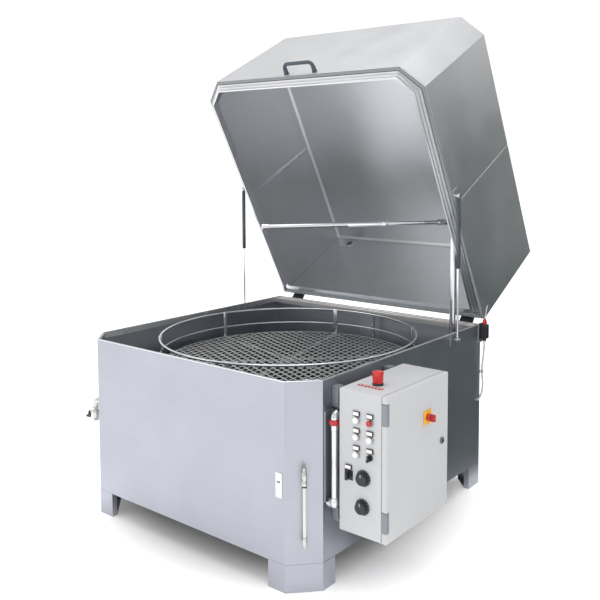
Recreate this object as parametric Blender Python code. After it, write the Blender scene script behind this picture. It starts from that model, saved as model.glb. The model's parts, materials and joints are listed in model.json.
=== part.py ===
"""Parts washer with a hinged lid, shown open: tank, lid, gas springs, rotary basket and control cabinet.

Metres, +Z up, seen with the tank's front facing -Y. Lengths below are in the tank's own frame, whose
origin is on the floor under the tank's centre. The lid's pieces are drawn shut and turned open together.
"""

import math

import bmesh
import bpy
from mathutils import Matrix, Vector

# Tank, walls and legs
TANK_WIDTH = 1.48
TANK_DEPTH = 1.51
TANK_HEIGHT = 0.90
CORNER_CUT = 0.113
SHEET = 0.003
GAP = 0.0003
LEG_HEIGHT = 0.12
LEG_RETURN = 0.028
FRONT_LEG_WIDTH = 0.095
SIDE_LEG_WIDTH = 0.083
REAR_LEG_WIDTH = 0.115
FOOT_PLATE = 0.005
FLOOR_HEIGHT = 0.24
CORNER_RETURN = 0.010
RIM_BAND = 0.009
RIM_DROP = 0.021
REAR_LEDGE = 0.055

# Lid
LID_DEPTH = 0.68
SEAL_SPACE = 0.010
LID_OPEN_ANGLE = math.radians(62)
HINGE_Y = 0.790
HINGE_Z = 0.873
LID_SEAM = 0.735
RIM_WIDTH = 0.053
SKIRT_DROP = 0.040
HINGE_X = 0.625
HINGE_WIDTH = 0.116
KNUCKLE = 0.013

# Gas springs
SPRING_X = 0.765
SPRING_TOP_Y = -0.030
SPRING_TOP_Z = 0.922
SPRING_FOOT_Z = 0.870
SPRING_TUBE_LENGTH = 0.365
SPRING_TUBE_RADIUS = 0.011
SPRING_ROD_RADIUS = 0.006
SPRING_ROD_LENGTH = 0.390
EYE_RADIUS = 0.011
EYE_THICKNESS = 0.023
STUD_RADIUS = 0.0045

# Basket and its drive
BASKET_RADIUS = 0.675
BASKET_TOP = 0.885
BASKET_MIDDLE = 0.800
BASKET_FLOOR = 0.745
SPOKES = 6
SPOKE_TURN = math.radians(-14)
HUB_RADIUS = 0.052
SHAFT_RADIUS = 0.020

# Spray pipes
RISER = (0.640, 0.620)
RISER_RADIUS = 0.017
RISER_FOOT = 0.200
UPPER_ARM_Z = 1.470
ARM_END = (0.050, -0.250)
ARM_RADIUS = 0.0125
LOWER_ARM_Z = 0.620
SIDE_PIPE = (0.054, 0.705)
SIDE_PIPE_RADIUS = 0.010

# Control cabinet
CABINET_LOW = Vector((0.812, -0.627, 0.284))
CABINET_HIGH = Vector((1.021, -0.145, 0.880))
CABINET_SHEET = 0.0025
DOOR_FACE_X = 1.047
HINGE_BLOCKS = ((0.765, 0.850), (0.330, 0.412))
SWITCH_PROUD = 0.040
BUTTON_RADIUS = 0.0125

# Outlet tap on the left wall
TAP_Y = -0.600
TAP_REACH = 0.132
TAP_LEVER_REACH = 0.222

HALF_WIDTH = TANK_WIDTH / 2
HALF_DEPTH = TANK_DEPTH / 2
LID_BOTTOM = TANK_HEIGHT + SEAL_SPACE
LID_TOP = LID_BOTTOM + LID_DEPTH
CUT_FACTOR = math.sqrt(2) - 1


def opened(y, z):
    """Where a point of the shut lid's side view lies once the lid is open."""
    away, up = y - HINGE_Y, z - HINGE_Z
    cosine, sine = math.cos(LID_OPEN_ANGLE), math.sin(LID_OPEN_ANGLE)
    return HINGE_Y + away * cosine + up * sine, HINGE_Z - away * sine + up * cosine


LEFT_REACH = -(HALF_WIDTH + TAP_LEVER_REACH)
RIGHT_REACH = DOOR_FACE_X + SWITCH_PROUD
REAR_REACH = opened(HALF_DEPTH, LID_TOP)[0]
CENTRE = Vector(((LEFT_REACH + RIGHT_REACH) / 2, (REAR_REACH - HALF_DEPTH) / 2, 0))


# Scene, materials and groups -------------------------------------------------


def clear_scene():
    for old in list(bpy.data.objects):
        bpy.data.objects.remove(old)


def material(name, colour, roughness, metallic=0.0):
    made = bpy.data.materials.new(name)
    made.use_nodes = True
    shader = made.node_tree.nodes["Principled BSDF"]
    shader.inputs["Base Color"].default_value = (*colour, 1)
    shader.inputs["Roughness"].default_value = roughness
    shader.inputs["Metallic"].default_value = metallic
    return made


clear_scene()
STEEL = material("stainless_sheet", (0.55, 0.57, 0.60), 0.35, 1.0)
TUBE_STEEL = material("stainless_tube", (0.66, 0.67, 0.68), 0.25, 1.0)
DARK_STEEL = material("dark_steel", (0.05, 0.055, 0.06), 0.45, 1.0)
CHROME = material("chromed_rod", (0.8, 0.8, 0.82), 0.1, 1.0)
LACQUER = material("dark_blue_lacquer", (0.02, 0.03, 0.05), 0.3)
POWDER_COAT = material("light_grey_powder_coat", (0.72, 0.72, 0.72), 0.5)
ZINC = material("zinc_casting", (0.35, 0.37, 0.38), 0.5, 0.6)
BLACK_PLASTIC = material("black_plastic", (0.015, 0.016, 0.018), 0.4)
WHITE_PLASTIC = material("white_plastic", (0.8, 0.8, 0.8), 0.35)
RED_PLASTIC = material("red_plastic", (0.6, 0.02, 0.02), 0.3)
RUBBER = material("black_rubber", (0.02, 0.02, 0.02), 0.8)
PUMP_PAINT = material("blue_grey_motor_paint", (0.10, 0.13, 0.17), 0.5)
GREY_PVC = material("grey_pvc", (0.45, 0.46, 0.47), 0.6)
BRASS = material("nickel_brass", (0.6, 0.58, 0.52), 0.3, 1.0)


def empty(name, location, parent=None, turn_x=0.0):
    made = bpy.data.objects.new(name, None)
    bpy.context.scene.collection.objects.link(made)
    made.location = location
    made.rotation_euler = (turn_x, 0, 0)
    made.parent = parent
    return made


MACHINE = empty("machine", -CENTRE)
LID = empty("lid_hinge_axis", (0, HINGE_Y, HINGE_Z), MACHINE, -LID_OPEN_ANGLE)


def node(name, shape, finish, origin=(0, 0, 0), parent=MACHINE, smooth=False, helper_of=None):
    """Makes one object from a shape drawn in the tank's frame, with its origin at the given point."""
    origin = Vector(origin)
    bmesh.ops.translate(shape, vec=-origin, verts=shape.verts)
    bmesh.ops.recalc_face_normals(shape, faces=shape.faces)
    mesh = bpy.data.meshes.new(name)
    shape.to_mesh(mesh)
    shape.free()
    if smooth:
        mesh.shade_smooth()
        mesh.set_sharp_from_angle(angle=math.radians(35))
    mesh.materials.append(finish)
    made = bpy.data.objects.new(name, mesh)
    made.parent = parent
    made.location = origin - (parent.location if parent is LID else Vector())
    group = helper_of or bpy.context.scene.collection
    group.objects.link(made)
    return made


def helper_group(owner, kind):
    group = bpy.data.collections.new(f"{owner.name}_{kind}")
    bpy.context.scene.collection.children.link(group)
    return group


def combine(owner, shapes, operation):
    """Joins or cuts the owner with shapes drawn in the same frame, which stay as hidden helpers."""
    group = helper_group(owner, operation.lower())
    for number, shape in enumerate(shapes):
        name = f"{owner.name}_{operation.lower()}_{number}"
        origin = owner.location + (owner.parent.location if owner.parent is LID else Vector())
        tool = node(name, shape, owner.data.materials[0], origin, owner.parent, helper_of=group)
        tool.hide_render = True
        tool.display_type = "WIRE"
    change = owner.modifiers.new(operation.lower(), "BOOLEAN")
    change.operation = operation
    change.operand_type = "COLLECTION"
    change.collection = group
    change.solver = "EXACT"
    return owner


# Shapes ----------------------------------------------------------------------


def prism(outline, low, high):
    """A flat outline in X and Y raised from one height to another."""
    shape = bmesh.new()
    base = shape.faces.new([shape.verts.new((x, y, low)) for x, y in outline])
    raised = bmesh.ops.extrude_face_region(shape, geom=[base])["geom"]
    moved = [item for item in raised if isinstance(item, bmesh.types.BMVert)]
    bmesh.ops.translate(shape, vec=(0, 0, high - low), verts=moved)
    return shape


def framed(outer, inner, low, high):
    """The wall between two outlines with the same number of corners."""
    shape = bmesh.new()
    rings = [
        [shape.verts.new((x, y, z)) for x, y in outline]
        for outline, z in ((outer, low), (outer, high), (inner, high), (inner, low))
    ]
    count = len(outer)
    for ring, following in zip(rings, rings[1:] + rings[:1]):
        for here in range(count):
            there = (here + 1) % count
            shape.faces.new((ring[here], ring[there], following[there], following[here]))
    return shape


def box(low, high):
    (x0, y0, z0), (x1, y1, z1) = low, high
    return prism([(x0, y0), (x1, y0), (x1, y1), (x0, y1)], z0, z1)


def turned(profile, steps, closed=False):
    """A profile of (radius, height) points turned round Z. A closed profile makes a ring."""
    shape = bmesh.new()
    rings = []
    for radius, height in profile:
        ring = []
        for place in [0] if radius == 0 else range(steps):
            angle = math.tau * place / steps
            ring.append(shape.verts.new((radius * math.cos(angle), radius * math.sin(angle), height)))
        rings.append(ring)
    pairs = list(zip(rings, rings[1:]))
    if closed:
        pairs.append((rings[-1], rings[0]))
    for low, high in pairs:
        for here in range(steps):
            there = (here + 1) % steps
            below = [low[here % len(low)], low[there % len(low)]]
            above = [high[there % len(high)], high[here % len(high)]]
            shape.faces.new(list(dict.fromkeys(below + above)))
    return shape


def cylinder(radius, low, high, steps=16):
    return turned([(0, low), (radius, low), (radius, high), (0, high)], steps)


def washer(inner, outer, low, high, steps=16):
    return turned([(inner, low), (outer, low), (outer, high), (inner, high)], steps, closed=True)


def placed(shape, centre, axis="Z"):
    """Turns a shape's Z axis to another axis, then moves its origin to the centre."""
    turns = {
        "Z": Matrix(),
        "X": Matrix.Rotation(math.radians(90), 4, "Y"),
        "-X": Matrix.Rotation(math.radians(-90), 4, "Y"),
        "Y": Matrix.Rotation(math.radians(-90), 4, "X"),
        "-Y": Matrix.Rotation(math.radians(90), 4, "X"),
    }
    bmesh.ops.transform(shape, matrix=Matrix.Translation(centre) @ turns[axis], verts=shape.verts)
    return shape


def rounded_path(points, radius, steps=4):
    """The route through the points, with an arc of the given radius in place of each inner corner."""
    points = [Vector(point) for point in points]
    route = [points[0]]
    for before, corner, after in zip(points, points[1:], points[2:]):
        back, on = (before - corner).normalized(), (after - corner).normalized()
        half = back.angle(on) / 2
        start = corner + back * radius / math.tan(half)
        centre = corner + (back + on).normalized() * radius / math.sin(half)
        spoke = start - centre
        axis = spoke.cross(corner - start).normalized()
        sweep = math.pi - 2 * half
        for step in range(steps + 1):
            route.append(centre + Matrix.Rotation(sweep * step / steps, 3, axis) @ spoke)
    route.append(points[-1])
    return route


def smooth_path(points, steps=5):
    """A smooth curve through the points."""
    points = [Vector(point) for point in points]
    padded = [2 * points[0] - points[1]] + points + [2 * points[-1] - points[-2]]
    route = []
    for a, b, c, d in zip(padded, padded[1:], padded[2:], padded[3:]):
        for step in range(steps):
            t = step / steps
            square = 2 * a - 5 * b + 4 * c - d
            cube = 3 * b - a - 3 * c + d
            route.append((2 * b + (c - a) * t + square * t**2 + cube * t**3) / 2)
    route.append(points[-1])
    return route


def swept(route, radius, sides=8, closed=False):
    """A round bar along a route."""
    route = [Vector(point) for point in route]
    count = len(route)
    shape = bmesh.new()
    rings = []
    across = None
    for place, here in enumerate(route):
        ways = []
        if closed or place:
            ways.append((here - route[place - 1]).normalized())
        if closed or place < count - 1:
            ways.append((route[(place + 1) % count] - here).normalized())
        along = sum(ways, Vector()).normalized()
        across = across or along.orthogonal()
        across = (across - along * across.dot(along)).normalized()
        beside = along.cross(across)
        bend = (ways[-1] - ways[0]).normalized()
        stretch = 1 / math.cos(ways[0].angle(ways[-1]) / 2) - 1
        ring = []
        for side in range(sides):
            angle = math.tau * side / sides
            arm = (across * math.cos(angle) + beside * math.sin(angle)) * radius
            ring.append(shape.verts.new(here + arm + bend * arm.dot(bend) * stretch))
        rings.append(ring)
    pairs = list(zip(rings, rings[1:]))
    if closed:
        pairs.append((rings[-1], rings[0]))
    for low, high in pairs:
        for here in range(sides):
            there = (here + 1) % sides
            shape.faces.new((low[here], low[there], high[there], high[here]))
    if not closed:
        shape.faces.new(rings[0])
        shape.faces.new(rings[-1])
    return shape


def ring_bar(radius, height, bar_radius, steps=48, sides=6):
    angles = [math.tau * step / steps for step in range(steps)]
    route = [(radius * math.cos(angle), radius * math.sin(angle), height) for angle in angles]
    return swept(route, bar_radius, sides, closed=True)


def side_profile(points, x_low, x_high):
    """An outline in Y and Z widened along X."""
    shape = bmesh.new()
    base = shape.faces.new([shape.verts.new((x_low, y, z)) for y, z in points])
    raised = bmesh.ops.extrude_face_region(shape, geom=[base])["geom"]
    moved = [item for item in raised if isinstance(item, bmesh.types.BMVert)]
    bmesh.ops.translate(shape, vec=(x_high - x_low, 0, 0), verts=moved)
    return shape


def plan(inset):
    """The tank's plan, drawn inwards by a distance, with its two front corners cut off."""
    x, y = HALF_WIDTH - inset, HALF_DEPTH - inset
    cut_x = HALF_WIDTH - CORNER_CUT - inset * CUT_FACTOR
    cut_y = -HALF_DEPTH + CORNER_CUT + inset * CUT_FACTOR
    return [(-cut_x, -y), (cut_x, -y), (x, cut_y), (x, y), (-x, y), (-x, cut_y)]


def front_strip(end_y):
    """The folded sheet round the front and both cut corners, back to end_y on each side."""
    outer, inner = plan(0), plan(SHEET)
    outside = [(-HALF_WIDTH, end_y), outer[5], outer[0], outer[1], outer[2], (HALF_WIDTH, end_y)]
    x = HALF_WIDTH - SHEET
    return outside + [(x, end_y), inner[2], inner[1], inner[0], inner[5], (-x, end_y)]


# Tank ------------------------------------------------------------------------

FOLD_END = -HALF_DEPTH + CORNER_CUT + CORNER_RETURN
SPRING_FOOT_Y = opened(SPRING_TOP_Y, SPRING_TOP_Z)[0]
SPRING_TOP_OPEN_Z = opened(SPRING_TOP_Y, SPRING_TOP_Z)[1]


def mirrored(low_x, high_x, side):
    return (low_x, high_x) if side > 0 else (-high_x, -low_x)


def side_box(side, x_range, y_range, z_range):
    x0, x1 = mirrored(*x_range, side)
    return box((x0, y_range[0], z_range[0]), (x1, y_range[1], z_range[1]))


def tank_walls():
    node("front_panel", prism(front_strip(FOLD_END), LEG_HEIGHT, TANK_HEIGHT), STEEL)
    rear = box((-HALF_WIDTH, HALF_DEPTH - SHEET, LEG_HEIGHT), (HALF_WIDTH, HALF_DEPTH, TANK_HEIGHT))
    node("rear_panel", rear, STEEL)
    for name, side in (("left", -1), ("right", 1)):
        wall_x = (HALF_WIDTH - SHEET, HALF_WIDTH)
        wall_y = (FOLD_END + GAP, HALF_DEPTH - SHEET - GAP)
        wall = node(f"{name}_panel", side_box(side, wall_x, wall_y, (LEG_HEIGHT, TANK_HEIGHT)), STEEL)
        plate_y = (SPRING_FOOT_Y - 0.028, SPRING_FOOT_Y + 0.028)
        plate = side_box(side, (HALF_WIDTH - 0.001, HALF_WIDTH + 0.005), plate_y, (0.835, 0.892))
        stud = placed(
            cylinder(STUD_RADIUS, -0.001, SPRING_X + 0.012 - HALF_WIDTH),
            (side * HALF_WIDTH, SPRING_FOOT_Y, SPRING_FOOT_Z),
            "X" if side > 0 else "-X",
        )
        welded = [plate, stud]
        if side > 0:
            low, high, face = 0.800, 0.906, HALF_WIDTH + 0.004
            welded.append(box((HALF_WIDTH - 0.001, 0.730, low), (face, 0.750, high)))
            welded.append(box((HALF_WIDTH + GAP, 0.745, low), (face, 0.790, high)))
        combine(wall, welded, "UNION")


def leg(name, outside, inward):
    """A folded leg: its outer face follows the tank's corner, with returns at both ends."""
    outside = [Vector((*point, 0)) for point in outside]
    inner = []
    count = len(outside)
    for place, corner in enumerate(outside):
        normals = []
        for first, second in ((place - 1, place), (place, place + 1)):
            if first >= 0 and second < count:
                along = (outside[second] - outside[first]).normalized()
                normals.append(Vector((-along.y, along.x, 0)) * inward)
        if len(normals) == 2:
            shift = (normals[0] + normals[1]) / (1 + normals[0].dot(normals[1]))
        else:
            shift = normals[0]
        inner.append(corner + shift * SHEET)
    overrun = 3 * LEG_RETURN
    inner[0] += (outside[0] - outside[1]).normalized() * overrun
    inner[-1] += (outside[-1] - outside[-2]).normalized() * overrun
    body = prism([point.xy for point in outside], 0, LEG_HEIGHT - GAP)
    hollow = prism([point.xy for point in inner], FOOT_PLATE, LEG_HEIGHT + 0.01)
    combine(node(name, body, STEEL), [hollow], "DIFFERENCE")


def tank_legs():
    cut_x, cut_y = HALF_WIDTH - CORNER_CUT, -HALF_DEPTH + CORNER_CUT
    front_end, side_end = cut_x - FRONT_LEG_WIDTH, cut_y + SIDE_LEG_WIDTH
    rear_x, rear_y = HALF_WIDTH - REAR_LEG_WIDTH, HALF_DEPTH - REAR_LEG_WIDTH
    front = [
        (front_end, -HALF_DEPTH + LEG_RETURN),
        (front_end, -HALF_DEPTH),
        (cut_x, -HALF_DEPTH),
        (HALF_WIDTH, cut_y),
        (HALF_WIDTH, side_end),
        (HALF_WIDTH - LEG_RETURN, side_end),
    ]
    rear = [
        (HALF_WIDTH - LEG_RETURN, rear_y),
        (HALF_WIDTH, rear_y),
        (HALF_WIDTH, HALF_DEPTH),
        (rear_x, HALF_DEPTH),
        (rear_x, HALF_DEPTH - LEG_RETURN),
    ]
    for end, outline in (("front", front), ("rear", rear)):
        leg(f"leg_{end}_right", outline, 1)
        leg(f"leg_{end}_left", [(-x, y) for x, y in outline], -1)


def tank_floor_and_rim():
    inset = SHEET + GAP
    floor = node("tank_floor", prism(plan(inset), FLOOR_HEIGHT, FLOOR_HEIGHT + SHEET), STEEL)
    holes = [
        placed(cylinder(SHAFT_RADIUS + GAP, 0.2, 0.3, 24), (0, 0, 0)),
        placed(cylinder(RISER_RADIUS + GAP, 0.2, 0.3, 16), (*RISER, 0)),
    ]
    combine(floor, holes, "DIFFERENCE")
    inner = plan(inset + RIM_BAND)
    rim = node("tank_rim", framed(plan(inset), inner, TANK_HEIGHT - RIM_DROP, TANK_HEIGHT), STEEL)
    half = HALF_WIDTH - inset - 0.002
    back = HALF_DEPTH - inset - 0.002
    ledge = [
        (back, TANK_HEIGHT - 0.008),
        (back, TANK_HEIGHT - 0.011),
        (back - REAR_LEDGE + SHEET, TANK_HEIGHT - 0.011),
        (back - REAR_LEDGE + SHEET, TANK_HEIGHT - 0.032),
        (back - REAR_LEDGE, TANK_HEIGHT - 0.032),
        (back - REAR_LEDGE, TANK_HEIGHT - 0.008),
    ]
    combine(rim, [side_profile(ledge, -half, half)], "UNION")


# Lid, drawn shut -------------------------------------------------------------


def lid_walls():
    seam = HALF_DEPTH - LID_SEAM
    top = LID_TOP - SHEET - GAP
    front = node("lid_front_shell", prism(front_strip(seam - GAP), LID_BOTTOM, top), STEEL, parent=LID)
    welded = []
    for side in (-1, 1):
        plate_y = (SPRING_TOP_Y - 0.030, SPRING_TOP_Y + 0.030)
        welded.append(side_box(side, (HALF_WIDTH - 0.001, HALF_WIDTH + 0.004), plate_y, (0.911, 0.960)))
        reach = SPRING_X - EYE_THICKNESS / 2 - 0.0005 - HALF_WIDTH
        stud = cylinder(STUD_RADIUS + 0.002, -0.001, reach)
        root = (side * HALF_WIDTH, SPRING_TOP_Y, SPRING_TOP_Z)
        welded.append(placed(stud, root, "X" if side > 0 else "-X"))
    combine(front, welded, "UNION")
    x, y = HALF_WIDTH, HALF_DEPTH
    rear = [(x, seam), (x, y), (-x, y), (-x, seam)]
    rear += [(SHEET - x, seam), (SHEET - x, y - SHEET), (x - SHEET, y - SHEET), (x - SHEET, seam)]
    node("lid_rear_shell", prism(rear, LID_BOTTOM, top), STEEL, parent=LID)
    node("lid_top_panel", prism(plan(0), LID_TOP - SHEET, LID_TOP), STEEL, parent=LID)


def skirt(outer, inner, low, high):
    """A band that follows the front and both sides, and stops short of the rear ledge."""
    rear_y = HALF_DEPTH - REAR_LEDGE - 0.010
    way = []
    for inset in (outer, inner):
        points = [corner for corner in plan(inset) if corner[1] < 0]
        left = sorted((corner for corner in points if corner[0] < 0), key=lambda corner: -corner[1])
        right = sorted((corner for corner in points if corner[0] > 0), key=lambda corner: corner[1])
        way.append([(inset - HALF_WIDTH, rear_y)] + left + right + [(HALF_WIDTH - inset, rear_y)])
    return prism(way[0] + way[1][::-1], low, high)


def lid_rim():
    inset = SHEET + GAP
    low = LID_BOTTOM + 0.0025
    frame = node("lid_rim_frame", framed(plan(inset), plan(RIM_WIDTH), low, low + SHEET), STEEL, parent=LID)
    inner_skirt = skirt(RIM_WIDTH - 0.006, RIM_WIDTH - 0.0002, LID_BOTTOM - SKIRT_DROP, low + 0.001)
    middle_skirt = skirt(0.028, 0.032, LID_BOTTOM - 0.016, low + 0.001)
    combine(frame, [inner_skirt, middle_skirt], "UNION")
    seal = framed(plan(0.0045), plan(0.018), TANK_HEIGHT + 0.0015, low - GAP)
    node("lid_gasket", seal, RUBBER, parent=LID)


def lid_fittings():
    centre_x, spread, proud, z = -0.0185, 0.0975, 0.065, LID_BOTTOM + 0.028
    face = -HALF_DEPTH - GAP
    route = rounded_path(
        [
            (centre_x - spread, face, z),
            (centre_x - spread, face - proud + 0.011, z),
            (centre_x + spread, face - proud + 0.011, z),
            (centre_x + spread, face, z),
        ],
        0.022,
        3,
    )
    handle = node("lid_handle", swept(route, 0.011, 10), BLACK_PLASTIC, parent=LID, smooth=True)
    feet = [placed(cylinder(0.017, 0, 0.008), (centre_x + way * spread, face, z), "-Y") for way in (-1, 1)]
    combine(handle, feet, "UNION")
    inside = HALF_DEPTH - SHEET - GAP
    port_x, port_z, half = -0.584, LID_BOTTOM + 0.597, 0.0475
    plate = box((port_x - half, inside - 0.002, port_z - half), (port_x + half, inside, port_z + half))
    port = node("lid_vent_port", plate, STEEL, parent=LID)
    combine(port, [placed(washer(0.021, 0.027, 0.001, 0.008, 20), (port_x, inside, port_z), "-Y")], "UNION")


def wrapped(points, centre, radius, steps=16):
    """The outline that a band stretched round a circle and some points would take."""
    angles = [math.tau * step / steps for step in range(steps)]
    circle = [(centre[0] + radius * math.cos(a), centre[1] + radius * math.sin(a)) for a in angles]
    shape = bmesh.new()
    for y, z in circle + list(points):
        shape.verts.new((y, z, 0))
    found = bmesh.ops.convex_hull(shape, input=shape.verts)["geom"]
    kept = {item for item in found if isinstance(item, bmesh.types.BMVert)}
    middle = sum((v.co for v in kept), Vector()) / len(kept)
    ordered = sorted(kept, key=lambda v: math.atan2(v.co.y - middle.y, v.co.x - middle.x))
    outline = [(v.co.x, v.co.y) for v in ordered]
    shape.free()
    return outline


def hinges():
    axis = (HINGE_Y, HINGE_Z)
    wall = HALF_DEPTH + GAP
    pin = 0.0055
    cheek = 0.020
    for name, side in (("left", -1), ("right", 1)):
        x0, x1 = side * HINGE_X - HINGE_WIDTH / 2, side * HINGE_X + HINGE_WIDTH / 2
        plate = box((x0, wall, 0.795), (x1, wall + 0.005, 0.868))
        fixed = node(f"hinge_leaf_{name}", plate, DARK_STEEL)
        arm = wrapped([(wall + 0.003, 0.815), (wall + 0.003, 0.862)], axis, KNUCKLE)
        cheeks = [side_profile(arm, x0, x0 + cheek), side_profile(arm, x1 - cheek, x1)]
        rod = placed(cylinder(pin, 0, HINGE_WIDTH - 0.002), (x0 + 0.001, *axis), "X")
        combine(fixed, cheeks + [rod], "UNION")
        inner0, inner1 = x0 + cheek + 0.0005, x1 - cheek - 0.0005
        plate = box((inner0, wall, LID_BOTTOM + 0.012), (inner1, wall + 0.005, LID_BOTTOM + 0.070))
        leaf = node(f"lid_hinge_leaf_{name}", plate, DARK_STEEL, parent=LID)
        on_plate = [(wall + 0.003, LID_BOTTOM + height) for height in (0.020, 0.058)]
        band = wrapped(on_plate, axis, KNUCKLE)
        combine(leaf, [side_profile(band, inner0, inner1)], "UNION")
        bore = placed(cylinder(pin + GAP, -0.01, HINGE_WIDTH), (x0, *axis), "X")
        combine(leaf, [bore], "DIFFERENCE")


# Gas springs -----------------------------------------------------------------


def gas_springs():
    eye_low = -EYE_THICKNESS / 2
    for name, side in (("left", -1), ("right", 1)):
        x = side * SPRING_X
        foot = (x, SPRING_FOOT_Y, SPRING_FOOT_Z)
        shaft = cylinder(SPRING_ROD_RADIUS, 0.008, SPRING_ROD_LENGTH)
        rod = node(f"spring_rod_{name}", placed(shaft, foot), CHROME, origin=foot, smooth=True)
        eye = placed(cylinder(EYE_RADIUS, eye_low, -eye_low, 20), foot, "X")
        combine(rod, [eye], "UNION")
        hole = placed(cylinder(STUD_RADIUS + GAP, 2 * eye_low, -2 * eye_low, 16), foot, "X")
        combine(rod, [hole], "DIFFERENCE")
        head = (x, SPRING_FOOT_Y, SPRING_TOP_OPEN_Z)
        outer, bore = SPRING_TUBE_RADIUS, SPRING_ROD_RADIUS + 0.0006
        top, low = -0.012, -0.012 - SPRING_TUBE_LENGTH
        ceiling = top - 0.012
        profile = [(0, top), (outer, top), (outer, low), (bore, low), (bore, ceiling), (0, ceiling)]
        barrel = placed(turned(profile, 16), head)
        tube = node(f"spring_tube_{name}", barrel, LACQUER, origin=head, smooth=True)
        neck = placed(cylinder(0.006, -0.018, -0.004), head)
        combine(tube, [neck, placed(cylinder(EYE_RADIUS, eye_low, -eye_low, 20), head, "X")], "UNION")


# Basket and drive ------------------------------------------------------------


def basket():
    top_ring = ring_bar(BASKET_RADIUS, BASKET_TOP, 0.006)
    frame = node("basket_frame", top_ring, TUBE_STEEL, smooth=True)
    bars = [
        ring_bar(BASKET_RADIUS, BASKET_MIDDLE, 0.004),
        ring_bar(BASKET_RADIUS, BASKET_FLOOR - 0.008, 0.006),
    ]
    spoke_low, spoke_high = BASKET_FLOOR - 0.018, BASKET_FLOOR - 0.0035
    for number in range(SPOKES):
        angle = SPOKE_TURN + math.tau * number / SPOKES
        turn = Matrix.Rotation(angle, 4, "Z")
        post = placed(cylinder(0.005, BASKET_FLOOR - 0.008, BASKET_TOP, 8), (BASKET_RADIUS, 0, 0))
        spoke = box((HUB_RADIUS + GAP, -0.008, spoke_low), (BASKET_RADIUS, 0.008, spoke_high))
        for bar in (post, spoke):
            bmesh.ops.transform(bar, matrix=turn, verts=bar.verts)
            bars.append(bar)
    combine(frame, bars, "UNION")
    floor = washer(HUB_RADIUS + GAP, BASKET_RADIUS - 0.009, BASKET_FLOOR - 0.003, BASKET_FLOOR, 48)
    node("basket_floor", floor, TUBE_STEEL)
    shaft_low, collar, cap = 0.165, BASKET_FLOOR - 0.022, BASKET_FLOOR + 0.006
    profile = [
        (0, shaft_low),
        (SHAFT_RADIUS, shaft_low),
        (SHAFT_RADIUS, collar),
        (HUB_RADIUS, collar),
        (HUB_RADIUS, cap - 0.003),
        (HUB_RADIUS - 0.003, cap),
        (0, cap),
    ]
    node("basket_hub_shaft", turned(profile, 24), STEEL, smooth=True)


def drive():
    base = FLOOR_HEIGHT + SHEET + GAP
    bore, column, flange = SHAFT_RADIUS + GAP, 0.040, 0.095
    top = BASKET_FLOOR - 0.022 - GAP
    profile = [(bore, base), (flange, base), (flange, base + 0.008)]
    profile += [(column, base + 0.020), (column, top), (bore, top)]
    node("turntable_pedestal", turned(profile, 24, closed=True), STEEL, smooth=True)
    ceiling = FLOOR_HEIGHT - GAP
    housing = box((-0.075, -0.075, 0.125), (0.075, 0.075, ceiling))
    gearbox = node("basket_gearmotor", housing, PUMP_PAINT)
    motor = placed(cylinder(0.052, 0, 0.27, 20), (0, 0.06, 0.180), "Y")
    combine(gearbox, [motor], "UNION")
    combine(gearbox, [cylinder(bore, 0.16, 0.3, 24)], "DIFFERENCE")


def pump_and_heater():
    x, y, z = 0.52, 0.52, 0.150
    motor = placed(cylinder(0.058, 0, 0.23, 20), (x, y - 0.22, z), "Y")
    pump = node("pump_unit", motor, PUMP_PAINT, smooth=True)
    volute = placed(cylinder(0.078, 0, 0.055, 24), (x, y, z), "Y")
    way_out = [(x, y + 0.03, z), (RISER[0], y + 0.03, z), (*RISER, z), (*RISER, RISER_FOOT - 0.0005)]
    outlet = swept(rounded_path(way_out, 0.02), 0.015, 10)
    combine(pump, [volute, outlet], "UNION")
    wall, height = -HALF_WIDTH + SHEET + GAP, 0.330
    far, front, back = 0.45, -0.32, -0.16
    corners = [
        (wall + 0.005, front, height),
        (far, front, height),
        (far, back, height),
        (wall + 0.005, back, height),
    ]
    route = rounded_path(corners, 0.06)
    heater = node("heater_element", swept(route, 0.008, 8), TUBE_STEEL, smooth=True)
    flange = box((wall, front - 0.05, height - 0.05), (wall + 0.014, back + 0.05, height + 0.05))
    combine(heater, [flange], "UNION")


# Spray pipes -----------------------------------------------------------------


def toward(start, end):
    return (Vector(end) - Vector(start)).normalized()


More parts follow.
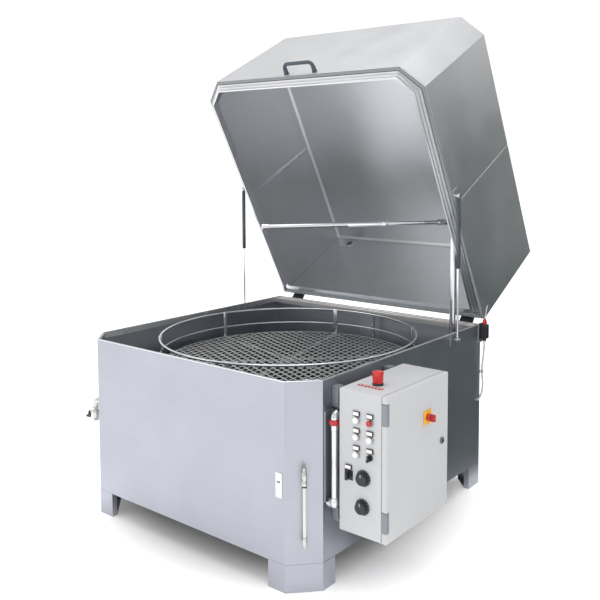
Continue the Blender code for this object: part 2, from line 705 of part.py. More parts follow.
def spray_pipes():
    elbow_drop = 0.060
    top = Vector((*RISER, UPPER_ARM_Z))
    arm_way = toward(top, (*ARM_END, UPPER_ARM_Z))
    bend = rounded_path([(*RISER, RISER_FOOT), top, top + arm_way * elbow_drop], 0.035)
    manifold = node("spray_manifold", swept(bend, RISER_RADIUS, 12), TUBE_STEEL, smooth=True)
    side_x, side_y = SIDE_PIPE
    side_low = 0.400
    side_corners = [
        (*RISER, side_low),
        (RISER[0], side_y, side_low),
        (side_x, side_y, side_low),
        (side_x, side_y, 0.860),
    ]
    side_route = rounded_path(side_corners, 0.03)
    lower_start = Vector((*RISER, LOWER_ARM_Z))
    lower_way = toward(lower_start, (0, 0, LOWER_ARM_Z))
    tee = swept([lower_start, lower_start + lower_way * 0.045], 0.016, 12)
    lower_collar = placed(cylinder(0.0205, LOWER_ARM_Z - 0.025, LOWER_ARM_Z + 0.025, 12), (*RISER, 0))
    combine(manifold, [swept(side_route, SIDE_PIPE_RADIUS, 8), tee, lower_collar], "UNION")
    arm_start = top + arm_way * (elbow_drop + GAP)
    arm_end = Vector((*ARM_END, UPPER_ARM_Z))
    arm = node("upper_spray_arm", swept([arm_start, arm_end], ARM_RADIUS, 12), TUBE_STEEL, smooth=True)
    cap = swept([arm_end - arm_way * 0.030, arm_end + arm_way * 0.006], ARM_RADIUS + 0.004, 12)
    sleeve_at = arm_start + (arm_end - arm_start) * 0.33
    sleeve = swept([sleeve_at, sleeve_at + arm_way * 0.028], ARM_RADIUS + 0.003, 12)
    joint = swept([arm_start, arm_start + arm_way * 0.035], ARM_RADIUS + 0.005, 12)
    combine(arm, [cap, sleeve, joint], "UNION")
    low_from = lower_start + lower_way * (0.045 + GAP)
    low_to = Vector((0, 0, LOWER_ARM_Z)) - lower_way * 0.075
    low = node("lower_spray_arm", swept([low_from, low_to], ARM_RADIUS, 12), TUBE_STEEL, smooth=True)
    low_cap = swept([low_to - lower_way * 0.02, low_to + lower_way * 0.006], ARM_RADIUS + 0.003, 12)
    combine(low, [low_cap], "UNION")


# Fittings on the outside -----------------------------------------------------


def outlet_tap():
    wall, z_high, z_low = -HALF_WIDTH - GAP, 0.505, 0.395
    out = -HALF_WIDTH - TAP_REACH
    route = rounded_path([(wall, TAP_Y, z_high), (out, TAP_Y, z_high), (out, TAP_Y, z_low)], 0.035, 5)
    tap = node("tap_body", swept(route, 0.0165, 12), BRASS, smooth=True)
    flange = placed(cylinder(0.028, 0, 0.010, 20), (wall, TAP_Y, z_high), "-X")
    valve_z, stem = 0.432, 0.012
    body = cylinder(0.022, valve_z - 0.026, valve_z + 0.026, 12)
    boss = placed(cylinder(0.010, 0, 0.022 + stem), (out, TAP_Y, valve_z), "-X")
    combine(tap, [flange, placed(body, (out, TAP_Y, 0)), boss], "UNION")
    start = out - 0.022 - stem - GAP
    tip = -HALF_WIDTH - TAP_LEVER_REACH
    outline = [(start, valve_z - 0.009), (start, valve_z + 0.009), (start - 0.008, valve_z + 0.009)]
    outline += [(tip, valve_z - 0.028), (tip, valve_z - 0.042), (start - 0.010, valve_z - 0.009)]
    shape = bmesh.new()
    base = shape.faces.new([shape.verts.new((x, TAP_Y - 0.009, z)) for x, z in outline])
    raised = bmesh.ops.extrude_face_region(shape, geom=[base])["geom"]
    moved = [item for item in raised if isinstance(item, bmesh.types.BMVert)]
    bmesh.ops.translate(shape, vec=(0, 0.018, 0), verts=moved)
    node("tap_lever", shape, BLACK_PLASTIC, origin=(start, TAP_Y, valve_z))


def fill_pipe():
    wall, x, y = HALF_WIDTH + 0.0065, 0.778, -0.612
    low, high, back = 0.380, 0.757, -0.300
    corners = [(wall, y, low), (x, y, low), (x, y, high), (x, back, high), (HALF_WIDTH + GAP, back, high)]
    pipe = node("fill_pipe", swept(rounded_path(corners, 0.018, 3), 0.0155, 12), TUBE_STEEL, smooth=True)
    elbow_profile = [(0, -0.021), (0.014, -0.017), (0.021, -0.006)]
    elbow_profile += [(0.021, 0.008), (0.0165, 0.024), (0, 0.024)]
    elbow = placed(turned(elbow_profile, 14), (x, y, low))
    socket = placed(cylinder(0.0205, 0, 0.018, 14), (wall, y, low), "X")
    combine(pipe, [elbow, socket], "UNION")
    bore, chamfer, face, ring_low, ring_high = 0.0160, 0.0225, 0.0250, 0.715, 0.737
    ring_profile = [(bore, ring_low), (chamfer, ring_low), (face, ring_low + 0.005)]
    ring_profile += [(face, ring_high - 0.005), (chamfer, ring_high), (bore, ring_high)]
    ring = placed(turned(ring_profile, 20, closed=True), (x, y, 0))
    node("pipe_ring", ring, RED_PLASTIC, smooth=True)


def level_gauge():
    middle = Vector((HALF_WIDTH - CORNER_CUT / 2, -HALF_DEPTH + CORNER_CUT / 2, 0))
    out = Vector((1, -1, 0)).normalized()
    centre = middle + out * 0.030
    tube = placed(cylinder(0.0075, 0.208, 0.543, 12), centre)
    gauge = node("level_gauge", tube, WHITE_PLASTIC, smooth=True)
    pieces = [
        placed(cylinder(0.0125, 0.473, 0.548, 12), centre),
        placed(cylinder(0.011, 0.203, 0.248, 12), centre),
    ]
    for height in (0.510, 0.225):
        lift = Vector((0, 0, height))
        pieces.append(swept([middle + out * GAP + lift, centre + lift], 0.008, 8))
        pieces.append(swept([middle + out * GAP + lift, middle + out * 0.006 + lift], 0.013, 12))
    combine(gauge, pieces, "UNION")


def limit_switch():
    plate = HALF_WIDTH + 0.004 + GAP
    low, high, x, y = 0.820, 0.899, 0.7625, 0.763
    housing = box((plate, y - 0.020, low), (plate + 0.034, y + 0.020, high))
    body = node("limit_switch_body", housing, BLACK_PLASTIC)
    gland = placed(cylinder(0.009, low - 0.012, low + 0.002, 12), (x, y, 0))
    combine(body, [gland], "UNION")
    cap_low, cap_high = high + 0.0032, high + 0.035
    cap_profile = [(0, cap_low), (0.013, cap_low), (0.014, cap_low + 0.013), (0.009, cap_high), (0, cap_high)]
    cap = placed(turned(cap_profile, 16), (x, y, 0))
    lever = node("limit_switch_rod", cap, RED_PLASTIC, origin=(x, y, high), smooth=True)
    rod = swept([(x, y, 0.925), (x + 0.004, y + 0.006, 0.965), (x + 0.008, y + 0.012, 1.005)], 0.0035, 6)
    combine(lever, [rod], "UNION")
    route = smooth_path([
        (x, y, low - 0.0126),
        (x, y, low - 0.024),
        (0.7600, 0.764, 0.760),
        (0.7540, 0.764, 0.700),
        (0.7500, 0.759, 0.635),
        (0.7510, 0.770, 0.575),
        (0.7500, 0.768, 0.528),
        (0.7490, 0.748, 0.497),
        (0.7480, 0.722, 0.480),
    ], 4)
    node("switch_conduit", swept(route, 0.0055, 8), GREY_PVC, smooth=True)


# Control cabinet -------------------------------------------------------------


def cabinet():
    low, high = CABINET_LOW, CABINET_HIGH
    case = node("cabinet_box", box(low, high), POWDER_COAT)
    wall = Vector((CABINET_SHEET,) * 3)
    hollow_high = Vector((high.x + 0.05, high.y - wall.y, high.z - wall.z))
    combine(case, [box(low + wall, hollow_high)], "DIFFERENCE")
    near, far = DOOR_FACE_X - 0.040, DOOR_FACE_X + 0.005
    blocks = [box((near, low.y - 0.014, z0), (far, low.y + 0.001, z1)) for z0, z1 in HINGE_BLOCKS]
    combine(case, blocks, "UNION")
    slab = box((high.x + 0.0005, low.y, low.z), (DOOR_FACE_X, high.y, high.z))
    door = node("cabinet_door", slab, POWDER_COAT, origin=(DOOR_FACE_X - 0.007, low.y - 0.007, low.z))
    margin, behind = 0.012, high.x - 0.01
    pan_high = (DOOR_FACE_X - CABINET_SHEET, high.y - margin, high.z - margin)
    cuts = [box((behind, low.y + 0.030, low.z + margin), pan_high)]
    for z0, z1 in HINGE_BLOCKS:
        cuts.append(box((behind, low.y - 0.01, z0 - 0.002), (DOOR_FACE_X + 0.01, low.y + 0.018, z1 + 0.002)))
    combine(door, cuts, "DIFFERENCE")
    wall_x = HALF_WIDTH + GAP
    for name, z0, z1 in (("top", 0.776, 0.866), ("bottom", 0.290, 0.372)):
        back, middle = low.x - GAP, (z0 + z1) / 2
        mount = box((wall_x, -0.585, z0), (back, -0.545, z1))
        rail = box((wall_x + 0.044, -0.580, middle - 0.012), (back, -0.180, middle + 0.012))
        far = box((wall_x, -0.200, z0), (back, -0.158, z1))
        combine(node(f"cabinet_mount_{name}", mount, RUBBER), [rail, far], "UNION")


def cabinet_top():
    z = CABINET_HIGH.z + GAP
    profile = [(0, z), (0.024, z), (0.024, z + 0.008), (0.0225, z + 0.009)]
    profile += [(0.0245, z + 0.054), (0.021, z + 0.058), (0, z + 0.058)]
    node("beacon", placed(turned(profile, 24), (0.917, -0.500, 0)), RED_PLASTIC, smooth=True)


def front_control(name, x, z, profile, finish, steps=20):
    """A turned control on the cabinet's front, its profile's heights measured outwards from the front."""
    origin = (x, CABINET_LOW.y - GAP, z)
    return node(name, placed(turned(profile, steps), origin, "-Y"), finish, origin=origin, smooth=True)


def cabinet_controls():
    buttons = (
        ("button_pump", 0.902, 0.763, WHITE_PLASTIC),
        ("button_heater", 0.902, 0.694, WHITE_PLASTIC),
        ("button_basket", 0.902, 0.622, WHITE_PLASTIC),
        ("button_stop", 0.968, 0.763, RED_PLASTIC),
        ("button_light", 0.968, 0.694, WHITE_PLASTIC),
    )
    stroke = 0.004
    for name, x, z, finish in buttons:
        r = BUTTON_RADIUS
        profile = [(0, stroke), (r, stroke), (r, 0.012), (r - 0.002, 0.015), (0, 0.015)]
        front_control(name, x, z, profile, finish, 16)
    knob = [(0, 0), (0.013, 0), (0.013, 0.008), (0.0095, 0.010), (0.0085, 0.026), (0, 0.026)]
    front_control("selector_knob", 0.968, 0.622, knob, BLACK_PLASTIC, 16)
    dial = [(0, 0), (0.034, 0), (0.034, 0.004), (0.029, 0.006), (0.0265, 0.024), (0.024, 0.027), (0, 0.027)]
    front_control("thermostat_dial", 0.936, 0.531, dial, BLACK_PLASTIC, 24)
    front_control("timer_dial", 0.932, 0.411, dial, BLACK_PLASTIC, 24)
    y = CABINET_LOW.y - GAP
    base = [(0, 0), (0.0150, 0), (0.0150, 0.010), (0, 0.010)]
    switch = front_control("mode_switch", 0.863, 0.528, base, BLACK_PLASTIC, 16)
    combine(switch, [box((0.8575, y - 0.024, 0.511), (0.8685, y - 0.006, 0.545))], "UNION")
    face = DOOR_FACE_X + GAP
    centre = (face, -0.322, 0.724)
    disc = placed(cylinder(0.019, 0.004, 0.020, 24), centre, "X")
    grip = node("main_switch_handle", disc, RED_PLASTIC, origin=centre)
    half = Vector((0, 0.007, 0.023))
    bar = box(
        Vector(centre) + Vector((0.010, 0, 0)) - half,
        Vector(centre) + Vector((SWITCH_PROUD - GAP, 0, 0)) + half,
    )
    combine(grip, [bar], "UNION")
    lock_at = (face, -0.200, 0.588)
    lock = [(0, 0), (0.015, 0), (0.015, 0.004), (0.012, 0.007), (0, 0.007)]
    node("door_lock", placed(turned(lock, 20), lock_at, "X"), ZINC, origin=lock_at, smooth=True)


tank_walls()
tank_legs()
tank_floor_and_rim()
lid_walls()
lid_rim()
lid_fittings()
hinges()
gas_springs()
basket()
drive()
pump_and_heater()
spray_pipes()
outlet_tap()
fill_pipe()
level_gauge()
limit_switch()
cabinet()
cabinet_top()
cabinet_controls()
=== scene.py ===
"""Looks of the open parts washer: finishes for its sheet metal and the fine pieces around its frame.

Metres, +Z up. Most shapes are drawn in the tank's own frame, whose origin is on the floor under the
tank's centre, and the lid's shapes are drawn with the lid shut and then opened about its hinge.
"""

import json
import math

import bmesh
import bpy
from mathutils import Matrix, Vector


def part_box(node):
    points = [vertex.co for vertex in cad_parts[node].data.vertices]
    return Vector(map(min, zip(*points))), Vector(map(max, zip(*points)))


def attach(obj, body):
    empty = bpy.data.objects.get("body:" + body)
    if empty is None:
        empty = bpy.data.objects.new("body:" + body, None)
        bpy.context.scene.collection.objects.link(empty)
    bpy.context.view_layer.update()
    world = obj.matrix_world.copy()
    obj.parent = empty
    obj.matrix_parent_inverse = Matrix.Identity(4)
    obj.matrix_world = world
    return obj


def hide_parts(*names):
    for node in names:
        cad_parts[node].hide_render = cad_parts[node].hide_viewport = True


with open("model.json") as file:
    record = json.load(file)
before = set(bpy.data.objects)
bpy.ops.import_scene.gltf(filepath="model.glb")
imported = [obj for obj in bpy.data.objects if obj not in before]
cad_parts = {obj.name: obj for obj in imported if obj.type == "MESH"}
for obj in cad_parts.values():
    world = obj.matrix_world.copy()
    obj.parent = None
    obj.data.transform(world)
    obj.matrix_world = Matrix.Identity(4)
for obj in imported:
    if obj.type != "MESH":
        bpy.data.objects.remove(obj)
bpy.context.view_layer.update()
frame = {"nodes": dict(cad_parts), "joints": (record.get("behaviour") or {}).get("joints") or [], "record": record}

# Places read from the frame -----------------------------------------------------------------

front_low, front_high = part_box("front_panel")
rear_low, rear_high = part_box("rear_panel")
HALF_WIDTH = (front_high.x - front_low.x) / 2
HALF_DEPTH = (rear_high.y - front_low.y) / 2
TANK_TOP = front_high.z
TANK_BOTTOM = front_low.z
SHEET = rear_high.y - rear_low.y
ORIGIN = Vector(((front_low.x + front_high.x) / 2, (front_low.y + rear_high.y) / 2, 0))
CORNER_CUT = 0.113
CUT_FACTOR = math.sqrt(2) - 1

joints = {joint["name"]: joint for joint in frame["joints"]}
HINGE = Vector(joints["lid_hinge"]["pos_m"])
OPEN_ANGLE = math.radians(max(joints["lid_hinge"]["range_deg"]))
TANK = Matrix.Translation(ORIGIN)
OPENED = Matrix.Translation(HINGE) @ Matrix.Rotation(-OPEN_ANGLE, 4, "X") @ Matrix.Translation(-HINGE)
LID = OPENED @ TANK
LID_BOTTOM = TANK_TOP + 0.01
LID_TOP = LID_BOTTOM + 0.68
LID_SEAM_Y = HALF_DEPTH - 0.735
RIM_LEVEL = LID_BOTTOM + 0.0025

# The clearance that keeps two touching pieces apart.
HAIR = 0.0003
UP = Vector((0, 0, 1))
AXES = {
    "Z": Matrix(),
    "X": Matrix.Rotation(math.radians(90), 4, "Y"),
    "-X": Matrix.Rotation(math.radians(-90), 4, "Y"),
    "Y": Matrix.Rotation(math.radians(-90), 4, "X"),
    "-Y": Matrix.Rotation(math.radians(90), 4, "X"),
}


def in_tank(point):
    """A point of the frame, given in the tank's own frame."""
    return Vector(point) - ORIGIN


def box_in_tank(name):
    """A node's lowest and highest corners, given in the tank's own frame."""
    return [in_tank(corner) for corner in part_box(name)]


def joint_at(name):
    """A joint's place, given in the tank's own frame."""
    return in_tank(joints[name]["pos_m"])


# Shapes -------------------------------------------------------------------------------------


def block(low, high, ease=0.0, segments=2):
    """A block between two corners, its edges rounded if an ease is given."""
    shape = bmesh.new()
    bmesh.ops.create_cube(shape, size=1)
    low, high = Vector(low), Vector(high)
    size = Matrix.Diagonal((*(high - low), 1))
    bmesh.ops.transform(shape, matrix=Matrix.Translation((low + high) / 2) @ size, verts=shape.verts)
    return rounded(shape, ease, segments) if ease else shape


def around(centre, half, ease=0.0, segments=2):
    """A block given by its middle and its half sizes."""
    centre, half = Vector(centre), Vector(half)
    return block(centre - half, centre + half, ease, segments)


def rounded(shape, width, segments=2, sharper_than=30):
    """Rounds every edge that turns by more than the given degrees."""
    bmesh.ops.recalc_face_normals(shape, faces=shape.faces)
    limit = math.radians(sharper_than)
    edges = [e for e in shape.edges if len(e.link_faces) == 2 and e.calc_face_angle() > limit]
    bmesh.ops.bevel(shape, geom=edges, offset=width, segments=segments, profile=0.5, affect="EDGES")
    return shape


def placed(shape, centre, axis="Z"):
    """Turns a shape's Z axis to another axis, then moves its origin to the centre."""
    bmesh.ops.transform(shape, matrix=Matrix.Translation(centre) @ AXES[axis], verts=shape.verts)
    return shape


def turned(profile, steps=32, ring=False, wave=0.0, waves=0):
    """A profile of (radius, height) points turned round Z, its radius rippled if it is fluted."""
    shape = bmesh.new()
    rows = []
    for radius, height in profile:
        row = []
        for step in range(1 if radius == 0 else steps):
            angle = math.tau * step / steps
            reach = radius * (1 - wave * (0.5 + 0.5 * math.cos(waves * angle)))
            row.append(shape.verts.new((reach * math.cos(angle), reach * math.sin(angle), height)))
        rows.append(row)
    following = rows[1:] + rows[:1] if ring else rows[1:]
    for low, high in zip(rows, following):
        for here in range(steps):
            there = (here + 1) % steps
            corners = [low[here % len(low)], low[there % len(low)]]
            corners += [high[there % len(high)], high[here % len(high)]]
            shape.faces.new(list(dict.fromkeys(corners)))
    return shape


def lathe(profile, steps, centre, axis="Z", **ripple):
    """A turned profile, put in its place."""
    shape = turned(profile, steps, **ripple)
    return placed(shape, centre, axis)


def rod(radius, low, high, steps=24, edge=0.0):
    """A round bar on Z, with its two rims eased."""
    if not edge:
        return turned([(0, low), (radius, low), (radius, high), (0, high)], steps)
    eased = [(0, low), (radius - edge, low), (radius, low + edge)]
    return turned(eased + [(radius, high - edge), (radius - edge, high), (0, high)], steps)


def washer(inner, outer, low, high, steps=32):
    """A flat ring on Z."""
    return turned([(inner, low), (outer, low), (outer, high), (inner, high)], steps, ring=True)


def bridged(first, second):
    """The closed shape between two matching outlines."""
    shape = bmesh.new()
    near = [shape.verts.new(point) for point in first]
    far = [shape.verts.new(point) for point in second]
    shape.faces.new(near)
    shape.faces.new(far)
    for here in range(len(near)):
        there = (here + 1) % len(near)
        shape.faces.new((near[here], near[there], far[there], far[here]))
    return shape


def prism(outline, low, high):
    """An outline in X and Y raised along Z."""
    return bridged([(x, y, low) for x, y in outline], [(x, y, high) for x, y in outline])


def framed(outer, inner, low, high):
    """The band between two outlines with the same number of corners."""
    shape = bmesh.new()
    levels = ((outer, low), (outer, high), (inner, high), (inner, low))
    rings = [[shape.verts.new((x, y, z)) for x, y in outline] for outline, z in levels]
    for ring, following in zip(rings, rings[1:] + rings[:1]):
        for here in range(len(outer)):
            there = (here + 1) % len(outer)
            shape.faces.new((ring[here], ring[there], following[there], following[here]))
    return shape


def plan(inset):
    """The tank's plan, drawn inwards by a distance, with its two front corners cut off."""
    x, y = HALF_WIDTH - inset, HALF_DEPTH - inset
    cut_x = HALF_WIDTH - CORNER_CUT - inset * CUT_FACTOR
    cut_y = CORNER_CUT - HALF_DEPTH + inset * CUT_FACTOR
    return [(-cut_x, -y), (cut_x, -y), (x, cut_y), (x, y), (-x, y), (-x, cut_y)]


def rounded_path(points, radius, steps=6):
    """The route through the points, with an arc in place of each inner corner."""
    points = [Vector(point) for point in points]
    route = [points[0]]
    for before, corner, after in zip(points, points[1:], points[2:]):
        back, on = (before - corner).normalized(), (after - corner).normalized()
        half = back.angle(on) / 2
        start = corner + back * radius / math.tan(half)
        centre = corner + (back + on).normalized() * radius / math.sin(half)
        spoke = start - centre
        axis = spoke.cross(corner - start).normalized()
        for step in range(steps + 1):
            turn = Matrix.Rotation((math.pi - 2 * half) * step / steps, 3, axis)
            route.append(centre + turn @ spoke)
    return route + [points[-1]]


def smooth_path(points, steps=8):
    """A smooth curve through the points."""
    points = [Vector(point) for point in points]
    padded = [2 * points[0] - points[1]] + points + [2 * points[-1] - points[-2]]
    route = []
    for a, b, c, d in zip(padded, padded[1:], padded[2:], padded[3:]):
        for step in range(steps):
            t = step / steps
            square = 2 * a - 5 * b + 4 * c - d
            cube = 3 * b - a - 3 * c + d
            route.append((2 * b + (c - a) * t + square * t**2 + cube * t**3) / 2)
    return route + [points[-1]]


def swept(route, radius, sides=16, closed=False, radii=None):
    """A round bar along a route, whose radius may change from point to point."""
    route = [Vector(point) for point in route]
    count = len(route)
    shape = bmesh.new()
    rings = []
    across = None
    for place, here in enumerate(route):
        ways = []
        if closed or place:
            ways.append((here - route[place - 1]).normalized())
        if closed or place < count - 1:
            ways.append((route[(place + 1) % count] - here).normalized())
        along = sum(ways, Vector()).normalized()
        across = across or along.orthogonal()
        across = (across - along * across.dot(along)).normalized()
        beside = along.cross(across)
        bend = (ways[-1] - ways[0]).normalized()
        stretch = 1 / math.cos(ways[0].angle(ways[-1]) / 2) - 1
        reach = radii[place] if radii else radius
        ring = []
        for side in range(sides):
            angle = math.tau * side / sides
            arm = (across * math.cos(angle) + beside * math.sin(angle)) * reach
            ring.append(shape.verts.new(here + arm + bend * arm.dot(bend) * stretch))
        rings.append(ring)
    following = rings[1:] + rings[:1] if closed else rings[1:]
    for low, high in zip(rings, following):
        for here in range(sides):
            there = (here + 1) % sides
            shape.faces.new((low[here], low[there], high[there], high[here]))
    if not closed:
        shape.faces.new(rings[0])
        shape.faces.new(rings[-1])
    return shape


def circle(radius, height, steps):
    """Points evenly round Z."""
    angles = [math.tau * step / steps for step in range(steps)]
    return [Vector((radius * math.cos(a), radius * math.sin(a), height)) for a in angles]


def hexagon(across_flats, low, high):
    """A nut or bolt head on Z with its corners eased."""
    radius = across_flats / math.sqrt(3)
    ease = (high - low) * 0.18
    profile = [(0, low), (radius, low), (radius, high - ease), (radius * 0.9, high), (0, high)]
    return turned(profile, 6)


def together(shapes):
    """Several shapes gathered in one mesh."""
    whole = bmesh.new()
    for shape in shapes:
        bmesh.ops.recalc_face_normals(shape, faces=shape.faces)
        carrier = bpy.data.meshes.new("carrier")
        shape.to_mesh(carrier)
        whole.from_mesh(carrier)
        bpy.data.meshes.remove(carrier)
        shape.free()
    return whole


def piece(name, shapes, finish, stands_for=None, body="tank", slot=None, smooth=35):
    """Makes one visible piece from shapes drawn in the tank's frame, and lets it ride on a body.

    A lid piece is drawn with the lid shut. The slot, the finish's own unless another is named, is worked out but
    not used."""
    shape = together(shapes if isinstance(shapes, list) else [shapes])
    bmesh.ops.transform(shape, matrix=LID if body == "lid" else TANK, verts=shape.verts)
    mesh = bpy.data.meshes.new(name)
    shape.to_mesh(mesh)
    shape.free()
    mesh.shade_smooth()
    mesh.set_sharp_from_angle(angle=math.radians(smooth))
    mesh.materials.append(finish)
    made = bpy.data.objects.new(name, mesh)
    bpy.context.scene.collection.objects.link(made)
    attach(made, body)
    if stands_for:
        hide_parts(stands_for)
    slot = slot or FINISH_SLOT.get(finish.name)
    return made


# Finishes -----------------------------------------------------------------------------------


def colour(code):
    """A hex colour as the linear values that a shader takes."""
    parts = [int(code[place : place + 2], 16) / 255 for place in (1, 3, 5)]
    linear = [p / 12.92 if p <= 0.04045 else ((p + 0.055) / 1.055) ** 2.4 for p in parts]
    return (*linear, 1.0)


def per_mm(*sizes):
    """The scale that makes one step of a pattern as long as the given sizes in millimetres."""
    return tuple(1000 / size for size in sizes)


def add(tree, kind, settings=None, links=None, **values):
    """Adds a node: its own settings, sockets linked from others, and socket values."""
    made = tree.nodes.new(kind)
    for name, value in (settings or {}).items():
        setattr(made, name, value)
    for name, value in values.items():
        made.inputs[name.replace("_", " ")].default_value = value
    for socket, source in (links or {}).items():
        tree.links.new(source, made.inputs[socket])
    return made


def finish_of(name, **values):
    """A new material and its node tree, with values set on the shader's own sockets."""
    made = bpy.data.materials.new(name)
    made.use_nodes = True
    shader = made.node_tree.nodes["Principled BSDF"]
    for socket, value in values.items():
        shader.inputs[socket.replace("_", " ")].default_value = value
    return made, made.node_tree


def follow_grain(tree, grain, blend, codes, rough, relief):
    """Lets colour and gloss follow a blend of patterns, and the relief follow the grain alone."""
    shader = tree.nodes["Principled BSDF"]
    dark, light = (colour(code) for code in codes)
    tone = add(tree, "ShaderNodeMix", {"data_type": "RGBA"}, {"Factor": blend}, A=dark, B=light)
    gloss = add(
        tree,
        "ShaderNodeMapRange",
        links={"Value": blend},
        From_Min=0.3,
        From_Max=0.7,
        To_Min=rough[0],
        To_Max=rough[1],
    )
    strength, depth = relief
    raised = add(tree, "ShaderNodeBump", links={"Height": grain}, Strength=strength, Distance=depth)
    tree.links.new(tone.outputs["Result"], shader.inputs["Base Color"])
    tree.links.new(gloss.outputs["Result"], shader.inputs["Roughness"])
    tree.links.new(raised.outputs["Normal"], shader.inputs["Normal"])


def brushed_stainless(name, grain, codes, rough, tilt=0.0):
    """AISI 304 sheet with a satin brushed face: a long fine grain, broad reflections, faint smears.

    The grain is 0.8 mm wide on the real sheet and drawn 2 mm wide so that it shows."""
    made, tree = finish_of(name, Metallic=1.0)
    place = add(tree, "ShaderNodeTexCoord").outputs["Object"]
    level = add(tree, "ShaderNodeMapping", links={"Vector": place}, Rotation=(tilt, 0, 0))
    level = level.outputs["Vector"]
    lines = add(tree, "ShaderNodeMapping", links={"Vector": level}, Scale=per_mm(*grain))
    lines = lines.outputs["Vector"]
    brushed = add(tree, "ShaderNodeTexNoise", links={"Vector": lines}, Scale=1, Detail=3)
    brushed = brushed.outputs["Fac"]
    wiped = add(tree, "ShaderNodeTexNoise", links={"Vector": level}, Scale=per_mm(260)[0], Detail=2)
    mixed = {"A": brushed, "B": wiped.outputs["Fac"]}
    blend = add(tree, "ShaderNodeMix", {"data_type": "FLOAT"}, mixed, Factor=0.55).outputs["Result"]
    follow_grain(tree, brushed, blend, codes, (rough - 0.05, rough + 0.05), (0.12, 0.0003))
    return made


def grained(name, codes, grit, rough, bump, **values):
    """A finish whose colour, gloss and relief all follow one fine grain of the given size in mm."""
    made, tree = finish_of(name, **values)
    place = add(tree, "ShaderNodeTexCoord").outputs["Object"]
    size = per_mm(grit, grit, grit)
    lines = add(tree, "ShaderNodeMapping", links={"Vector": place}, Scale=size).outputs["Vector"]
    grain = add(tree, "ShaderNodeTexNoise", links={"Vector": lines}, Scale=1, Detail=4)
    grain = grain.outputs["Fac"]
    follow_grain(tree, grain, grain, codes, rough, (bump, grit / 4000))
    return made


# Cold-rolled stainless sheet: the grain runs level round the walls, and along X on flat panels.
LEVEL_GRAIN = (240, 240, 2)
FLAT_GRAIN = (240, 2, 2)
# One steel in several copies, toned apart as painted light: the tank's walls darker as painted shade, the lid's
# copies lighter as painted highlight.
sheet_tank = brushed_stainless("satin_stainless_wall", LEVEL_GRAIN, ("#9EA0A8", "#BEC0CA"), 0.42)
sheet_flat = brushed_stainless("satin_stainless_flat", FLAT_GRAIN, ("#B2B4B6", "#D0D2D4"), 0.42)
sheet_lid = brushed_stainless("satin_stainless_lid", LEVEL_GRAIN, ("#BCBDBF", "#DCDDDF"), 0.4, OPEN_ANGLE)
sheet_lid_flat = brushed_stainless(
    "satin_stainless_lid_flat", FLAT_GRAIN, ("#BABBBE", "#DADBDE"), 0.4, OPEN_ANGLE
)
# The rim's narrow folds take a lighter copy of the sheet: a painted highlight along the folds.
sheet_rim_painted_highlight = brushed_stainless("stainless_rim_painted_highlight", (60, 60, 60), ("#C6C7C9", "#E2E3E5"), 0.33)
# The same sheet folded into trims and lips, drawn lighter as a painted highlight along its edges and beads.
sheet_painted_highlight = brushed_stainless("stainless_fold_painted_highlight", (90, 90, 90), ("#D8DADE", "#F2F3F5"), 0.28)
# Stainless tube polished to a soft mirror: tight streaks along the light.
tube_polished = grained(
    "polished_stainless_tube", ("#C4C6CA", "#E6E7EA"), 3, (0.16, 0.26), 0.04, Metallic=1.0
)
# Expanded sheet as it leaves the press: duller, with dark cut edges.
mesh_steel = grained("pressed_stainless_mesh", ("#A2A4A2", "#CDCFCC"), 6, (0.38, 0.5), 0.1, Metallic=0.8)
# The sump's floor, painted dark as the shade under the basket's mesh.
floor_painted_shade = grained(
    "stainless_floor_painted_shade", ("#2C302F", "#434746"), 40, (0.35, 0.6), 0.05, Metallic=0.6
)
# Phosphated steel: almost black, dry and slightly mottled.
phosphate = grained("black_phosphated_steel", ("#1E2123", "#3A3E40"), 1.5, (0.42, 0.6), 0.2, Metallic=0.6)
# Hard chromed piston rod: the brightest and smoothest metal here.
chrome_rod = grained("hard_chromed_rod", ("#D4D6DA", "#F0F1F3"), 4, (0.05, 0.1), 0.01, Metallic=1.0)
# Zinc plated fasteners: cool grey with a faint bloom.
zinc_plated = grained("zinc_plated_fastener", ("#A9ADB0", "#D3D6D6"), 2, (0.25, 0.4), 0.05, Metallic=1.0)
# Die cast zinc: grey, slightly grainy skin.
zinc_cast = grained("zinc_die_casting", ("#6E757B", "#8C9399"), 1, (0.4, 0.55), 0.15, Metallic=0.7)
# Nickel plated brass valve: warm silver.
nickel_brass = grained("nickel_plated_brass", ("#B3B0AA", "#DAD8D2"), 3, (0.18, 0.3), 0.04, Metallic=1.0)
# Lacquered spring tube: near black blue with a hard gloss coat.
spring_lacquer = grained(
    "dark_blue_lacquer", ("#242E3C", "#34404F"), 2, (0.28, 0.36), 0.04, Coat_Weight=0.6, Coat_Roughness=0.08
)
# Fine textured polyester powder coat: soft sheen over a 1 mm orange peel.
powder_coat = grained("light_grey_powder_coat", ("#BDBEC0", "#CACBCD"), 1.2, (0.38, 0.5), 0.12)
# Handle: glass-filled nylon, dark slate with a soft sheen.
handle_nylon = grained("moulded_slate_nylon", ("#333B43", "#444D56"), 0.8, (0.28, 0.4), 0.12)
# Channel behind the pipe: dull rolled steel, hardly brushed, its darker tone painted shade for the shadow beside
# the pipe.
dull_steel = grained("dull_rolled_steel", ("#7A8187", "#92989D"), 3, (0.45, 0.58), 0.08, Metallic=0.55)
# Moulded nylon: black, satin, with a fine spark-eroded grain.
black_nylon = grained("moulded_black_nylon", ("#15181B", "#24282C"), 0.8, (0.32, 0.44), 0.12)
# Glossy moulded plastics of the control gear.
white_plastic = grained("moulded_white_polycarbonate", ("#E6E6E4", "#F6F6F4"), 3, (0.2, 0.28), 0.02)
red_plastic = grained(
    "moulded_red_polycarbonate", ("#A80C08", "#C6140E"), 3, (0.18, 0.26), 0.02, Coat_Weight=0.4
)
yellow_plastic = grained("moulded_yellow_abs", ("#F0A91A", "#F7BC2E"), 3, (0.3, 0.38), 0.03)
grey_paint = grained("grey_painted_hinge_block", ("#7C8288", "#8D9399"), 1.5, (0.4, 0.5), 0.08)
